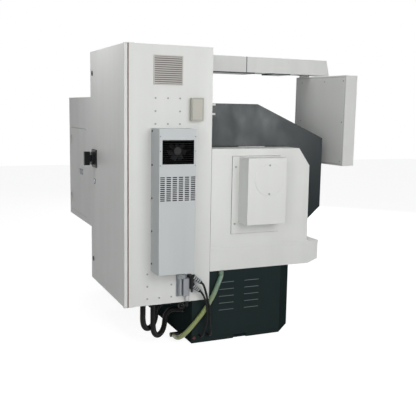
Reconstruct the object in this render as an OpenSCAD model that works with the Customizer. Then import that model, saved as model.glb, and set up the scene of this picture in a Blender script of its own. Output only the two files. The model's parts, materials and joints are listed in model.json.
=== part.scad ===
// Slant-bed lathe with its enclosure, rear electrical cabinet and overhead control pendant.
// The origin is on the floor, straight below the spindle nose. +X runs from the chuck to the
// tailstock, -Y faces the operator and +Z is up. All sizes are in millimetres.

/* [Machine] */
// Height of the spindle axis above the floor
spindle_h = 1180; // [1160:5:1200]
// Distance from the spindle nose back to the end covers
nose_to_end = 700; // [695:5:720]
// Length of the machine from the end covers to the right end
machine_l = 1810; // [1800:10:1900]
// Distance from the spindle axis to the rear face of the housings
rear_d = 970; // [940:10:1000]
// Thickness of the folded sheet metal
sheet = 4; // [3:0.5:5]

/* [Base] */
// Height of the base under the chip tray
base_h = 520; // [510:5:530]
// Distance from the spindle axis to the front of the base
base_front = 367; // [350:1:400]
// Distance from the spindle axis to the rear of the base
base_rear = 500; // [480:5:520]
// Size of the vertical chamfers on the front corners of the base
base_cut = 158; // [120:1:180]
// Thickness of the base walls
base_wall = 12; // [8:1:16]
// Set-back of the base from the end covers
base_inset = 15; // [10:1:25]
// Width of one louvre in the base end panel
louvre_w = 118; // [90:1:130]
// Vertical spacing of the louvres
louvre_pitch = 51; // [40:1:56]
// How far a louvre stands out
louvre_out = 9; // [5:1:14]

/* [Chip tray] */
// Distance from the spindle axis to the front of the tray
tray_front = 519; // [515:1:525]
// Height of the tray
tray_h = 173; // [165:1:180]
// Height of the folded rim at the top of the tray
rim_h = 22; // [16:1:30]
// Rise of the tray's bottom at its front
tray_rise = 31; // [10:1:60]
// Length of the rising part of the tray's bottom
tray_rise_l = 84; // [60:1:120]

/* [End cover] */
// Height of the headstock end cover's top above the spindle axis
cover_rise = 207; // [195:1:240]
// Depth of the end cover in front of the enclosure wall
cover_d = 200; // [190:1:210]
// Front edge of the cover's flat top, from the spindle axis
cover_top_front = 325; // [300:1:340]
// Front face of the cover, from the spindle axis
cover_front = 420; // [400:1:425]
// Height that the cover's top chamfer takes
cover_drop = 128; // [100:1:150]
// Width of the actuator box on the end cover
box_w = 302; // [290:1:310]
// Height of the actuator box
box_h = 465; // [440:1:480]
// How far the actuator box reaches below the spindle axis
box_drop = 315; // [290:1:330]
// Depth of the actuator box
box_d = 150; // [145:1:170]
// Radius of the round plate on the actuator box
bar_plate_r = 112; // [105:1:118]

/* [Enclosure] */
// Top of the enclosure above the floor
enclosure_top = 1700; // [1690:1:1740]
// Front face of the enclosure, from the spindle axis
enclosure_front = 651; // [640:1:660]
// Front edge of the enclosure's flat roof, from the spindle axis
roof_front = 78; // [60:1:100]
// Height where the sloping front meets the upright front
slope_foot = 1450; // [1440:1:1480]
// Height where the upright front starts to taper back
front_foot = 918; // [900:1:930]
// Left edge of the sliding door
door_x = -20; // [-30:1:-10]
// Width of the sliding door
door_w = 545; // [530:1:560]
// Thickness of the sliding door
door_t = 28; // [20:1:32]
// Gap between the door and the enclosure
door_gap = 4; // [3:0.5:6]
// Width of the door window
window_w = 330; // [250:1:380]
// Height of the door window
window_h = 300; // [200:1:340]

/* [Rear housing] */
// Top of the rear housing above the floor
housing_top = 1735; // [1725:1:1760]
// Gap between the chip tray and the rear housing
housing_clear = 12; // [8:1:22]
// Top edge of the rear access door above the floor
access_top = 1476; // [1440:1:1500]
// Height of the rear access door
access_h = 726; // [680:1:730]
// Width of the rear access door
access_w = 574; // [520:1:590]
// Thickness of the rear access door
access_t = 18; // [14:1:24]

/* [Electrical cabinet] */
// Width of the cabinet along the machine
cabinet_w = 900; // [890:5:905]
// Underside of the cabinet above the floor
cabinet_foot = 320; // [315:1:330]
// Height of the cabinet
cabinet_h = 1750; // [1740:5:1800]
// Front side of the cabinet, from the spindle axis
cabinet_front = 377; // [376:1:380]
// Thickness of the cabinet door
cab_door_t = 24; // [20:1:28]
// Thickness of the door gasket
gasket_t = 6; // [4:1:8]
// Width of the flange round the cabinet's door opening
cab_flange = 32; // [25:1:40]
// Height of the two cam locks above the floor
lock_zs = [482, 1910];
// Radius of a cam lock's barrel
lock_r = 13; // [10:0.5:16]
// Size of the square main-switch plate
switch_plate = 136; // [110:1:150]
// Thickness of the main-switch plate
switch_t = 30; // [15:1:35]

/* [Cabinet side fittings] */
// Width of the heat exchanger
exch_w = 256; // [240:1:270]
// Height of the heat exchanger
exch_h = 963; // [940:1:1000]
// Depth of the heat exchanger
exch_d = 164; // [140:1:180]
// Underside of the heat exchanger above the floor
exch_z = 566; // [560:1:570]
// Radius of the exchanger's fan impeller
fan_r = 66; // [50:1:70]
// Number of fan blades
fan_blades = 7; // [5:1:9]
// Number of vent slot columns
vent_cols = 6; // [4:1:8]
// Number of vent slot rows
vent_rows = 13; // [8:1:14]
// Width of the filter grille
grille_w = 206; // [190:1:220]
// Height of the filter grille
grille_h = 192; // [180:1:210]
// Number of slats in the filter grille
grille_slats = 13; // [8:1:16]
// Width of the junction box
jbox_w = 88; // [70:1:100]
// Height of the junction box
jbox_h = 154; // [120:1:170]
// Depth of the junction box
jbox_d = 40; // [34:1:60]

/* [Overhead duct and pendant] */
// Width of the overhead duct
duct_w = 200; // [160:1:220]
// Height of the overhead duct
duct_h = 120; // [110:1:130]
// Reach of the duct's top in front of the spindle axis
duct_reach = 896; // [890:1:920]
// How much further the duct's bottom edge reaches than its top
duct_rake = 30; // [10:1:40]
// Width of the control pendant
pendant_w = 627; // [600:1:640]
// Height of the control pendant
pendant_h = 694; // [680:1:700]
// Thickness of the control pendant
pendant_t = 110; // [100:1:120]
// Angle that the pendant is turned to at rest
pendant_turn = 6; // [0:1:10]
// Distance of the pendant's pivot in front of the spindle axis
pivot_y = 773; // [768:1:778]
// Inset of the pivot from the pendant's right and rear faces
pivot_inset = 45; // [40:1:50]

/* [Spindle and drive] */
// Radius of the spindle's through bore
spindle_bore_r = 26; // [20:0.5:30]
// Radius of the spindle between its bearings
spindle_r = 50; // [45:1:55]
// Radius of the spindle nose flange
nose_r = 82; // [78:1:90]
// Radius of the chuck
chuck_r = 105; // [100:1:110]
// Length of the chuck body
chuck_l = 88; // [80:1:92]
// Radius of the hydraulic actuator at the spindle's rear
actuator_r = 92; // [80:1:98]
// Radius of the spindle pulley
pulley_r = 115; // [105:1:120]
// Radius of the motor pulley
motor_pulley_r = 75; // [70:1:80]
// Width of both pulleys and of the belt
pulley_w = 66; // [55:1:70]
// Thickness of the belt
belt_t = 9; // [6:1:12]
// Height of the motor axis above the floor
motor_h = 235; // [225:1:245]

/* [Slides] */
// Distance from the spindle axis to the slanted bed plane
plane_d = 325; // [323:1:330]
// Height of the guide rails
rail_h = 42; // [36:1:46]
// Width of a guide rail
rail_w = 34; // [28:1:38]
// Clearance between sliding faces
slide_gap = 0.3; // [0.2:0.05:0.5]
// Length of the saddle along the bed
saddle_l = 220; // [210:1:230]
// Radius of the turret disc
disc_r = 115; // [110:1:118]
// Thickness of the turret disc
disc_t = 70; // [60:1:72]
// Number of turret stations
stations = 8; // [6:2:10]
// Radius of the tailstock quill
quill_r = 40; // [35:1:45]

/* [Hidden] */
$fn = 48;

// Paints
white = "#d9dad5";
slate = "#3d474c";
base_green = "#26302f";
blue_grey = "#a9b2b5";
machined = "#b9bcbe";
cast = "#8b9294";
black = "#1b1c1e";

// Main planes
end_x = -nose_to_end;
right_x = end_x + machine_l;
cab_x1 = end_x + cabinet_w;
cab_top = cabinet_foot + cabinet_h;
enc_x0 = end_x + cover_d;
panel_joint = 3;
enc_rear = cabinet_front - panel_joint;
tray_top = base_h + tray_h;
cover_top = spindle_h + cover_rise;
housing_foot = tray_top + housing_clear;
tray_rear = enc_rear;
base_x0 = end_x + base_inset;
base_x1 = right_x - base_inset;
housing_x0 = cab_x1 + 5;
fit = 0.3;
running = 0.05;

// Slanted bed: the foot of the spindle axis on the guide plane, and places on that plane
foot_y = plane_d * cos(45);
foot_z = spindle_h - plane_d * sin(45);
function on_plane(s, n) = [foot_y + (s - n) * cos(45), foot_z + (s + n) * sin(45)];

// The enclosure's outline in the YZ plane, counter-clockwise
taper_y = 558;
taper_z = 835;
skirt_y = 480;
skirt_z = 773;
skirt_foot = base_h + 80;
enclosure_outline = [[-skirt_y, skirt_foot], [enc_rear, skirt_foot], [enc_rear, enclosure_top],
    [-roof_front, enclosure_top], [-enclosure_front, slope_foot], [-enclosure_front, front_foot],
    [-taper_y, taper_z], [-skirt_y, skirt_z]];

// ---- Helpers ----

function unit(v) = v / norm(v);
// A counter-clockwise outline moved inwards by w, its corners kept sharp
function inset(pts, w) = [for (i = [0 : len(pts) - 1])
    let (n = len(pts), u = unit(pts[i] - pts[(i + n - 1) % n]), v = unit(pts[(i + 1) % n] - pts[i]),
        a = [-u[1], u[0]], b = [-v[1], v[0]]) pts[i] + (a + b) * w / (1 + a * b)];

// A box between two opposite corners
module block(p, q) { translate(p) cube(q - p); }
// An outline in the YZ plane, carried along X
module along_x(x0, x1) { translate([x0, 0, 0]) rotate([90, 0, 90]) linear_extrude(x1 - x0) children(); }
// An outline in the XZ plane, carried along Y
module along_y(y0, y1) { translate([0, y1, 0]) rotate([90, 0, 0]) linear_extrude(y1 - y0) children(); }
// A round bar along X, Y or Z
module bar_x(x0, x1, r) { translate([x0, 0, 0]) rotate([0, 90, 0]) cylinder(h = x1 - x0, r = r); }
module bar_y(y0, y1, r) { translate([0, y1, 0]) rotate([90, 0, 0]) cylinder(h = y1 - y0, r = r); }
// A rounded rectangle centred on the origin
module round_rect(w, h, r) {
    square([w - 2 * r, h], center = true);
    square([w, h - 2 * r], center = true);
    for (i = [-1, 1], j = [-1, 1]) translate([i * (w / 2 - r), j * (h / 2 - r)]) circle(r);
}
// A body of revolution about X from an outline of [x, radius] points
module turned(pts) { rotate([90, 0, 90]) rotate_extrude() polygon([for (p = pts) [p[1], p[0]]]); }
// Children placed in the slanted frame: X as before, Y up the guide plane, Z out of it
module on_slant() { translate([0, foot_y, foot_z]) rotate([45, 0, 0]) children(); }
// Children placed on the spindle axis
module on_axis() { translate([0, 0, spindle_h]) children(); }

// A round cord along hand-chosen points, its rings carried from one to the next without twist
function heading(p, i) = unit(p[min(i + 1, len(p) - 1)] - p[max(i - 1, 0)]);
function carried(p, i) = i == 0 ? unit(cross(heading(p, 0), [0.3, 1, 0.2]))
    : let (n = carried(p, i - 1), t = heading(p, i)) unit(n - (n * t) * t);
module cord(p, d, sides = 10) {
    n = len(p);
    polyhedron(
        points = [for (i = [0 : n - 1]) let (a = carried(p, i), b = cross(heading(p, i), a))
            for (k = [0 : sides - 1]) p[i] + d / 2 * (cos(360 * k / sides) * a + sin(360 * k / sides) * b)],
        faces = concat([[for (k = [0 : sides - 1]) k]],
            [for (i = [0 : n - 2], k = [0 : sides - 1]) let (m = (k + 1) % sides)
                [i * sides + m, i * sides + k, (i + 1) * sides + k, (i + 1) * sides + m]],
            [[for (k = [sides - 1 : -1 : 0]) (n - 1) * sides + k]]));
}

// ---- Base, bed and tray ----

base_plan = [[base_x0 + base_cut, -base_front], [base_x1 - base_cut, -base_front],
    [base_x1, -base_front + base_cut], [base_x1, base_rear], [base_x0, base_rear],
    [base_x0, -base_front + base_cut]];
base_section = [[-base_front, 0], [base_rear, 0], [base_rear, cabinet_foot], [enc_rear, cabinet_foot],
    [enc_rear, base_h], [-base_front, base_h]];
belt_x0 = end_x + 100;
belt_x1 = belt_x0 + pulley_w;
belt_slot = pulley_r + belt_t + 6;
notch_y = [65, 172];
notch_h = 25;
panel_edge = 28;
panel_back = 9;
anchor_r = 10;
anchor_ys = [-240, 400];

module base() color(base_green) difference() {
    intersection() {
        linear_extrude(base_h) polygon(base_plan);
        along_x(base_x0, base_x1) polygon(base_section);
    }
    intersection() {
        linear_extrude(base_h) polygon(inset(base_plan, base_wall));
        along_x(base_x0, base_x1) polygon(inset(base_section, base_wall));
    }
    for (x = [base_x0 + 110, base_x1 - 110], y = anchor_ys)
        translate([x, y, -1]) cylinder(h = base_wall + 2, r = anchor_r);
    // End opening behind the louvred panel, belt slot and the cable notch at the floor
    block([base_x0 - 1, -base_front + base_cut + panel_edge, 2 * panel_edge],
        [base_x0 + base_wall + 1, enc_rear - panel_edge, base_h - panel_edge]);
    block([belt_x0 - 12, -belt_slot, base_h - base_wall - 1], [belt_x1 + 12, belt_slot, base_h + 1]);
    block([base_x0 - 1, notch_y[0], -1], [base_x0 + base_wall + 1, notch_y[1], notch_h]);
}

module base_end_panel() color(base_green) difference() {
    y0 = -base_front + base_cut + 5;
    face = base_x0 - sheet;
    louvre_ys = [38, 239];
    louvre_zs = [for (i = [0 : 4]) 226 + louvre_pitch * i];
    union() {
        block([face, y0, notch_h + 8], [base_x0, cabinet_front - panel_back, base_h - 6]);
        for (y = louvre_ys, z = louvre_zs)
            along_y(y - louvre_w / 2, y + louvre_w / 2)
                polygon([[face, z], [face, z + 2 * louvre_out], [face - louvre_out, z + 3],
                    [face - louvre_out, z]]);
    }
    for (y = louvre_ys, z = louvre_zs)
        along_y(y - louvre_w / 2 + 3, y + louvre_w / 2 - 3)
            polygon([[base_x0 + 1, z - 0.1], [base_x0 + 1, z + 7], [face, z + 7],
                [face - louvre_out + 2, z + 2], [face - louvre_out + 2, z - 0.1]]);
}

bed_x0 = -470;
bed_x1 = 1000;
bed_foot_y = 60;
bed_foot_z = base_h;
bed_rear = enc_rear - 5;
headstock_s = [-105, 180];
tail_ways = [-70, 70];
saddle_ways = [150, 400];
plane_top_s = 440;
bed_left = [[bed_foot_y, bed_foot_z], [bed_rear, bed_foot_z], [bed_rear, foot_z + bed_rear - foot_y],
    on_plane(-110, 0), [bed_foot_y, foot_z - 150]];
bed_right = [[bed_foot_y, bed_foot_z], [bed_rear, bed_foot_z], [bed_rear, foot_z - 200],
    on_plane(plane_top_s, 0) + [50, -150], on_plane(plane_top_s, 0) + [50, 0],
    on_plane(plane_top_s, 0), on_plane(-110, 0), [bed_foot_y, foot_z - 150]];
bed_split = housing_x0 + sheet + 1;
screw_s = 275;
screw_n = 24;
screw_r = 14;

module bed() color(cast) difference() {
    union() {
        along_x(bed_x0, bed_split) polygon(bed_left);
        along_x(bed_split, bed_x1) polygon(bed_right);
        on_slant() {
            for (s = tail_ways) block([0, s - rail_w / 2, -1], [bed_x1 - 10, s + rail_w / 2, rail_h]);
            for (s = saddle_ways) block([s == saddle_ways[0] ? 0 : bed_split, s - rail_w / 2, -1],
                [bed_x1 - 10, s + rail_w / 2, rail_h]);
            for (x = [bed_split, bed_x1 - 16])
                block([x, screw_s - 20, -1], [x + 16, screw_s + 20, screw_n + screw_r + 3]);
        }
    }
    on_slant() translate([0, screw_s, screw_n]) bar_x(bed_split - 1, bed_x1 + 1, screw_r + running);
    // Core openings through the front wall of the casting
    for (x = [-380, -180, 300, 520, 740])
        block([x, bed_foot_y - 1, bed_foot_z + 40], [x + 120, bed_foot_y + 150, foot_z - 210]);
}

tray_section = [[-tray_front + tray_rise_l, base_h], [tray_rear, base_h], [tray_rear, tray_top],
    [-tray_front, tray_top], [-tray_front, base_h + tray_rise]];
tray_open = [[-tray_front + tray_rise_l, base_h], [tray_rear, base_h], [tray_rear, tray_top + 50],
    [-tray_front, tray_top + 50], [-tray_front, base_h + tray_rise]];
tray_x = [end_x, right_x + 10];
rim_out = 1.5;
tray_dam_y = 46;

module chip_tray() color(white) {
    difference() {
        along_x(tray_x[0], tray_x[1]) polygon(tray_section);
        along_x(tray_x[0] + sheet, tray_x[1] - sheet) polygon(inset(tray_open, sheet));
        // Below the folded rim the wall stands back a little
        difference() {
            block([tray_x[0] - 1, -tray_front - 1, base_h - 1],
                [tray_x[1] + 1, tray_rear + 1, tray_top - rim_h]);
            block([tray_x[0] + rim_out, -tray_front + rim_out, base_h - 2],
                [tray_x[1] - rim_out, tray_rear + 2, tray_top]);
        }
        // The bed and the belt pass through the floor
        block([bed_x0 - 6, tray_dam_y + sheet, base_h - 1], [bed_x1 + 6, bed_rear + 1, base_h + sheet + 1]);
        block([belt_x0 - 12, -belt_slot, base_h - 1], [belt_x1 + 12, belt_slot, base_h + sheet + 1]);
    }
    // Deck under the end cover
    difference() {
        block([end_x + 1, -tray_front + 1, tray_top - sheet], [enc_x0 - 1, tray_rear - 1, tray_top]);
        block([belt_x0 - 12, -belt_slot, 0], [belt_x1 + 12, belt_slot, tray_top + 1]);
    }
    // Upright strip that keeps coolant off the bed
    block([bed_x0 - 6, tray_dam_y, base_h + sheet - 1], [bed_x1 + 6, tray_dam_y + sheet, base_h + 120]);
}

// ---- Headstock and drive ----

head_x0 = -450;
head_x1 = -30;
front_journal_r = spindle_r + 10;
front_bearing = [-130, -40];
rear_bearing = [-440, -380];
bearing_wall = 25;
seat_gap = 0.02;

module headstock() color(machined) {
    difference() {
        union() {
            on_slant() along_x(head_x0, head_x1) {
                polygon([[headstock_s[0], seat_gap], [headstock_s[1], seat_gap], [headstock_s[1], 60],
                    [118, plane_d], [-118, plane_d], [headstock_s[0], 60]]);
                translate([0, plane_d]) circle(r = 128);
            }
        }
        on_axis() {
            bar_x(front_bearing[0], head_x1 + 1, front_journal_r + bearing_wall + running);
            bar_x(rear_bearing[1] - 1, front_bearing[0] + 1, spindle_r + 16);
            bar_x(head_x0 - 1, rear_bearing[1], spindle_r + bearing_wall + running);
        }
    }
    // Spindle bearings
    on_axis() {
        difference() {
            bar_x(front_bearing[0] + running, front_bearing[1], front_journal_r + bearing_wall);
            bar_x(front_bearing[0] - 1, front_bearing[1] + 1, front_journal_r + running);
        }
        difference() {
            bar_x(rear_bearing[0], rear_bearing[1] - running, spindle_r + bearing_wall);
            bar_x(rear_bearing[0] - 1, rear_bearing[1] + 1, spindle_r + running);
        }
    }
}

motor_x = [-500, -150];
motor_half = 100;
motor_shaft_r = 24;

module main_motor() color(slate) translate([0, 0, motor_h]) difference() {
    union() {
        along_x(motor_x[0] + 20, motor_x[1]) round_rect(2 * motor_half, 2 * motor_half, 30);
        along_x(motor_x[0], motor_x[0] + 20) round_rect(2 * motor_half + 20, 2 * motor_half + 20, 30);
        block([motor_x[0] + 30, -motor_half + 8, base_wall - motor_h],
            [motor_x[1] - 30, motor_half - 8, -motor_half + 5]);
        block([motor_x[0] + 60, motor_half - 1, -50], [motor_x[0] + 180, motor_half + 46, 50]);
    }
    bar_x(motor_x[0] - 1, motor_x[0] + 60, motor_shaft_r + running);
    for (i = [0 : 5], j = [-1, 1]) block([motor_x[0] + 40, -70 + 24 * i, j * motor_half - 5],
        [motor_x[1] - 20, -58 + 24 * i, j * motor_half + 5]);
}

module motor_rotor() color(machined) translate([0, 0, motor_h]) {
    bar_x(belt_x0 - 8, motor_x[0] + 58, motor_shaft_r);
    bar_x(belt_x0, belt_x1, motor_pulley_r);
}

// A loop round two circles, r1 at the top and r2 at the bottom, d apart
module belt_loop(r1, r2, d) hull() {
    circle(r1, $fn = 72);
    translate([0, -d]) circle(r2, $fn = 72);
}
module drive_belt() color(black) on_axis() along_x(belt_x0 + 4, belt_x1 - 4) difference() {
    belt_loop(pulley_r + belt_t, motor_pulley_r + belt_t, spindle_h - motor_h);
    belt_loop(pulley_r + fit, motor_pulley_r + fit, spindle_h - motor_h);
}

actuator_x = [-800, -660];
spigot_l = 14;
spigot_r = 48;
module spindle() color(machined) on_axis() turned([
    [actuator_x[0], spindle_bore_r], [actuator_x[0], 42], [actuator_x[0] + 34, 42],
    [actuator_x[0] + 34, actuator_r - 16], [actuator_x[0] + 44, actuator_r], [actuator_x[1] - 24, actuator_r],
    [actuator_x[1] - 24, actuator_r - 20], [actuator_x[1], actuator_r - 20], [actuator_x[1], spindle_r - 4],
    [belt_x0, spindle_r - 4], [belt_x0, pulley_r], [belt_x1, pulley_r], [belt_x1, spindle_r],
    [rear_bearing[1], spindle_r], [rear_bearing[1], spindle_r + 4], [front_bearing[0], spindle_r + 4],
    [front_bearing[0], front_journal_r], [head_x1 + 4, front_journal_r], [head_x1 + 4, nose_r], [0, nose_r],
    [0, spigot_r], [spigot_l, spigot_r], [spigot_l, spindle_bore_r]]);

jaw_wide = 22;
jaw_narrow = 15;
chuck_bore_r = spindle_bore_r + 1;
jaw_step = chuck_l - 22;
jaw_foot = chuck_l - 38;
module chuck() color(machined) on_axis() difference() {
    turned([[0, spigot_r + running], [0, chuck_r - 4], [4, chuck_r], [chuck_l - 5, chuck_r],
        [chuck_l, chuck_r - 5], [chuck_l, chuck_bore_r], [spigot_l + 1, chuck_bore_r],
        [spigot_l + 1, spigot_r + running]]);
    for (a = [0, 120, 240]) rotate([a, 0, 0]) {
        block([jaw_foot, -jaw_wide, 5], [jaw_step, jaw_wide, chuck_r + 5]);
        block([jaw_step - 1, -jaw_narrow, 5], [chuck_l + 1, jaw_narrow, chuck_r + 5]);
    }
}

// One chuck jaw: a T-shaped master jaw in its slot and a stepped top jaw in front of the chuck
module jaw(a) color(machined) on_axis() rotate([a, 0, 0]) {
    block([jaw_foot + fit, -jaw_wide + fit, 42], [jaw_step - fit, jaw_wide - fit, 96]);
    block([jaw_step - 1, -jaw_narrow + fit, 42], [chuck_l + 6, jaw_narrow - fit, 96]);
    translate([0, 18, 0]) along_y(-36, 0)
        polygon([[chuck_l + 4, 36], [chuck_l + 26, 36], [chuck_l + 26, 52], [chuck_l + 40, 52],
            [chuck_l + 40, 74], [chuck_l + 26, 74], [chuck_l + 26, 92], [chuck_l + 4, 92]]);
}
module jaw_1() jaw(0);
module jaw_2() jaw(120);
module jaw_3() jaw(240);

// ---- Covers and enclosure ----

cover_outline = [[-cover_front, tray_top], [enc_rear, tray_top], [enc_rear, cover_top],
    [-cover_top_front, cover_top], [-cover_front + 3, cover_top - cover_drop]];
cover_open = [[-cover_front, tray_top - 50], [enc_rear, tray_top - 50], [enc_rear, cover_top],
    [-cover_top_front, cover_top], [-cover_front + 3, cover_top - cover_drop]];
box_y0 = -138;
box_z0 = spindle_h - box_drop;
box_cut = 12;
module end_cover() color(white) difference() {
    along_x(end_x, enc_x0) polygon(cover_outline);
    along_x(end_x + sheet, enc_x0 + 1) polygon(inset(cover_open, sheet));
    block([end_x - 1, box_y0 + box_cut, box_z0 + box_cut],
        [end_x + sheet + 1, box_y0 + box_w - box_cut, box_z0 + box_h - box_cut]);
}

flange_y = [-166, 216];
flange_t = 8;
bar_plate_t = 3;
flange_z = [spindle_h - 397, spindle_h + 154];
way_z = spindle_h + 150;
module actuator_cover() color(white) difference() {
    union() {
        block([end_x - flange_t, flange_y[0], flange_z[0]], [end_x, flange_y[1], flange_z[1]]);
        block([end_x - box_d, box_y0, box_z0], [end_x, box_y0 + box_w, box_z0 + box_h]);
        on_axis() bar_x(end_x - box_d - bar_plate_t, end_x - box_d + 1, bar_plate_r);
    }
    block([end_x - box_d + sheet, box_y0 + sheet, box_z0 + sheet],
        [end_x + 1, box_y0 + box_w - sheet, box_z0 + box_h - sheet]);
}

slope_a = atan2(enclosure_top - slope_foot, enclosure_front - roof_front);
// A place on the sloping part of the front: s up the slope, n out of it
function on_slope(s, n) = [-enclosure_front + s * cos(slope_a) - n * sin(slope_a),
    slope_foot + s * sin(slope_a) + n * cos(slope_a)];
// The bend between the upright front and the slope, on a sheet standing out by d
function bend(d) = [-enclosure_front - d, slope_foot + d * tan(45 - slope_a / 2)];
// A band that follows the front between the stand-outs d0 and d1, from height z up to s on the slope
module front_band(z, s, d0, d1) polygon([[-enclosure_front - d1, z], [-enclosure_front - d0, z],
    bend(d0), on_slope(s, d0), on_slope(s, d1), bend(d1)]);
door_z0 = 930;
door_s = 490;
door_lap = 14;
enclosure_open = concat([[-skirt_y, skirt_foot - 50], [enc_rear, skirt_foot - 50]],
    [for (i = [2 : len(enclosure_outline) - 1]) enclosure_outline[i]]);
partition_x = -20;

module enclosure() color(slate) {
    difference() {
        along_x(enc_x0, right_x) polygon(enclosure_outline);
        difference() {
            along_x(enc_x0 + sheet, right_x - sheet) polygon(inset(enclosure_open, sheet));
            block([partition_x, -enclosure_front, skirt_foot],
                [partition_x + sheet, enc_rear, enclosure_top]);
        }
        block([enc_x0 - 1, -enclosure_front, 0], [right_x + 1, enc_rear + 1, skirt_foot + 0.5]);
        // The rear wall stands on the tray, and opens into the housing behind the bed
        block([enc_x0 - 1, enc_rear - sheet - 1, 0], [right_x + 1, enc_rear + 1, tray_top]);
        block([housing_x0 + sheet, enc_rear - sheet - 1, housing_foot + sheet],
            [right_x - sheet, enc_rear + 1, enclosure_top - sheet]);
        // Way through the end panel for the spindle, and through the partition for nose and bed
        block([enc_x0 - 1, -200, tray_top + 8], [enc_x0 + sheet + 1, 200, way_z]);
        on_axis() bar_x(partition_x - 1, partition_x + sheet + 1, nose_r + 8);
        along_x(partition_x - 1, partition_x + sheet + 1) polygon([[tray_dam_y - fit, skirt_foot - 10],
            [enc_rear - sheet, skirt_foot - 10], [enc_rear - sheet, foot_z + 206], on_plane(-120, 50),
            [tray_dam_y - fit, foot_z - 138]]);
        along_x(door_x + door_lap, door_x + door_w - door_lap)
            front_band(door_z0 + 30, door_s - 30, -40, 40);
    }
    // Track that the front door slides on
    block([door_x - 10, -enclosure_front - door_gap - door_t + 6, door_z0 - 14],
        [right_x - 4, -enclosure_front + 1, door_z0 - slide_gap]);
}

window_x = door_x + door_w / 2;
window_z = 1190;
handle_x = door_x + 40;
module front_door() color(slate) {
    difference() {
        along_x(door_x, door_x + door_w) front_band(door_z0, door_s, door_gap, door_gap + door_t);
        along_x(door_x + 3, door_x + door_w - 3)
            front_band(door_z0 + 3, door_s - 3, door_gap - 1, door_gap + door_t - 3);
        block([window_x - window_w / 2, -enclosure_front - 50, window_z - window_h / 2],
            [window_x + window_w / 2, -enclosure_front, window_z + window_h / 2]);
    }
    // Grab handle on two posts
    face = -enclosure_front - door_gap - door_t;
    for (z = [980, 1150]) translate([handle_x, 0, z]) bar_y(face - 42, face + 1, 8);
    translate([handle_x, face - 42, 955]) cylinder(h = 220, r = 13);
}
module door_window() color("#5f6f76") {
    face = -enclosure_front - door_gap - door_t + 3;
    block([window_x - window_w / 2 - 20, face, window_z - window_h / 2 - 20],
        [window_x + window_w / 2 + 20, face + 8, window_z + window_h / 2 + 20]);
}

housing_seam = 1478;
access_x = [right_x - 60 - access_w, right_x - 60];
access_z = [access_top - access_h, access_top];
module rear_housing() color(white) {
    difference() {
        block([housing_x0, enc_rear, housing_foot], [right_x, rear_d, housing_top]);
        block([housing_x0 + sheet, enc_rear - 1, housing_foot + sheet],
            [right_x - sheet, rear_d - sheet, housing_top - sheet]);
        // Seam of the top panel, and the doorway behind the bed
        block([housing_x0 - 1, rear_d - 1.5, housing_seam], [right_x + 1, rear_d + 1, housing_seam + 3]);
        block([access_x[0] - 2, rear_d - sheet - 1, access_z[0] - 2],
            [access_x[1] + 2, rear_d + 1, access_z[1] + 2]);
    }
    // Upper halves of the door's hinges, with their pins
    for (z = hinge_zs) {
        hinge_half(1, z + hinge_l + fit);
        translate([hinge_x, hinge_y, z]) cylinder(h = 2 * hinge_l + fit, r = hinge_pin_r);
        translate([hinge_x, hinge_y, z + 2 * hinge_l - 2]) cylinder(h = 4, r = hinge_r - 1);
    }
}
hinge_r = 5.5;
hinge_pin_r = 3;
hinge_x = access_x[1] + 1;
hinge_y = rear_d + hinge_r + fit;
hinge_l = 36;
hinge_zs = [access_z[0] + 70, access_z[1] - 140];
// One half of a butt hinge: a leaf on the face at side s of the pin, and its knuckle
module hinge_half(s, z) {
    difference() {
        union() {
            block([min(hinge_x, hinge_x + s * 30), rear_d, z],
                [max(hinge_x, hinge_x + s * 30), rear_d + 3, z + hinge_l]);
            translate([hinge_x, hinge_y, z]) cylinder(h = hinge_l, r = hinge_r);
        }
        block([min(hinge_x, hinge_x - s * 2), rear_d - 1, z - 1],
            [max(hinge_x, hinge_x - s * 2), rear_d + fit, z + hinge_l + 1]);
        translate([hinge_x, hinge_y, z - 1]) cylinder(h = hinge_l + 2, r = hinge_pin_r + running);
    }
}
latch_x = access_x[0] + 194;
latch_z = 1117;
latch_w = 140;
latch_h = 46;
latch_pin_r = 3;
latch_pin_z = latch_z + latch_h / 2 - 9;
module rear_door() color(white) difference() {
    union() {
        for (z = hinge_zs) hinge_half(-1, z);
        difference() {
            block([access_x[0], rear_d - access_t, access_z[0]], [access_x[1], rear_d, access_z[1]]);
            block([access_x[0] + sheet, rear_d - access_t - 1, access_z[0] + sheet],
                [access_x[1] - sheet, rear_d - 3, access_z[1] - sheet]);
        }
        // Cup of the recessed latch
        translate([latch_x, 0, latch_z]) along_y(rear_d - access_t, rear_d)
            square([latch_w + 6, latch_h + 6], center = true);
    }
    translate([latch_x, 0, latch_z]) along_y(rear_d - access_t + 2, rear_d + 1)
        square([latch_w, latch_h], center = true);
    translate([latch_x, rear_d - 8, latch_pin_z])
        bar_x(-latch_w / 2 - 2, latch_w / 2 + 2, latch_pin_r + running);
}
module rear_latch() color(black) {
    translate([latch_x, 0, latch_z]) along_y(rear_d - 10, rear_d - 6)
        square([latch_w - 12, latch_h - 12], center = true);
    translate([latch_x, rear_d - 8, latch_pin_z]) bar_x(-latch_w / 2 - 1, latch_w / 2 + 1, latch_pin_r);
}

// ---- Electrical cabinet and what is fastened to it ----

cab_rear = rear_d;
cab_open_z = [cabinet_foot + cab_flange, cab_top - cab_flange];
duct_x = [-140, -140 + duct_w];
duct_z0 = cab_top - duct_h - 2;
exch_y0 = 559;
exch_x = end_x - exch_d;
exch_ports = [[600, 620], [600, 1340]];
port_w = 150;
conduit_ends = [[-640, 850], [-620, 775]];
conduit_r = 20;
grille_y0 = 596;
grille_z0 = 1811;
grille_rim = 18;
socket_y = [542, 626];
socket_z = [368, 512];
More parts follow.
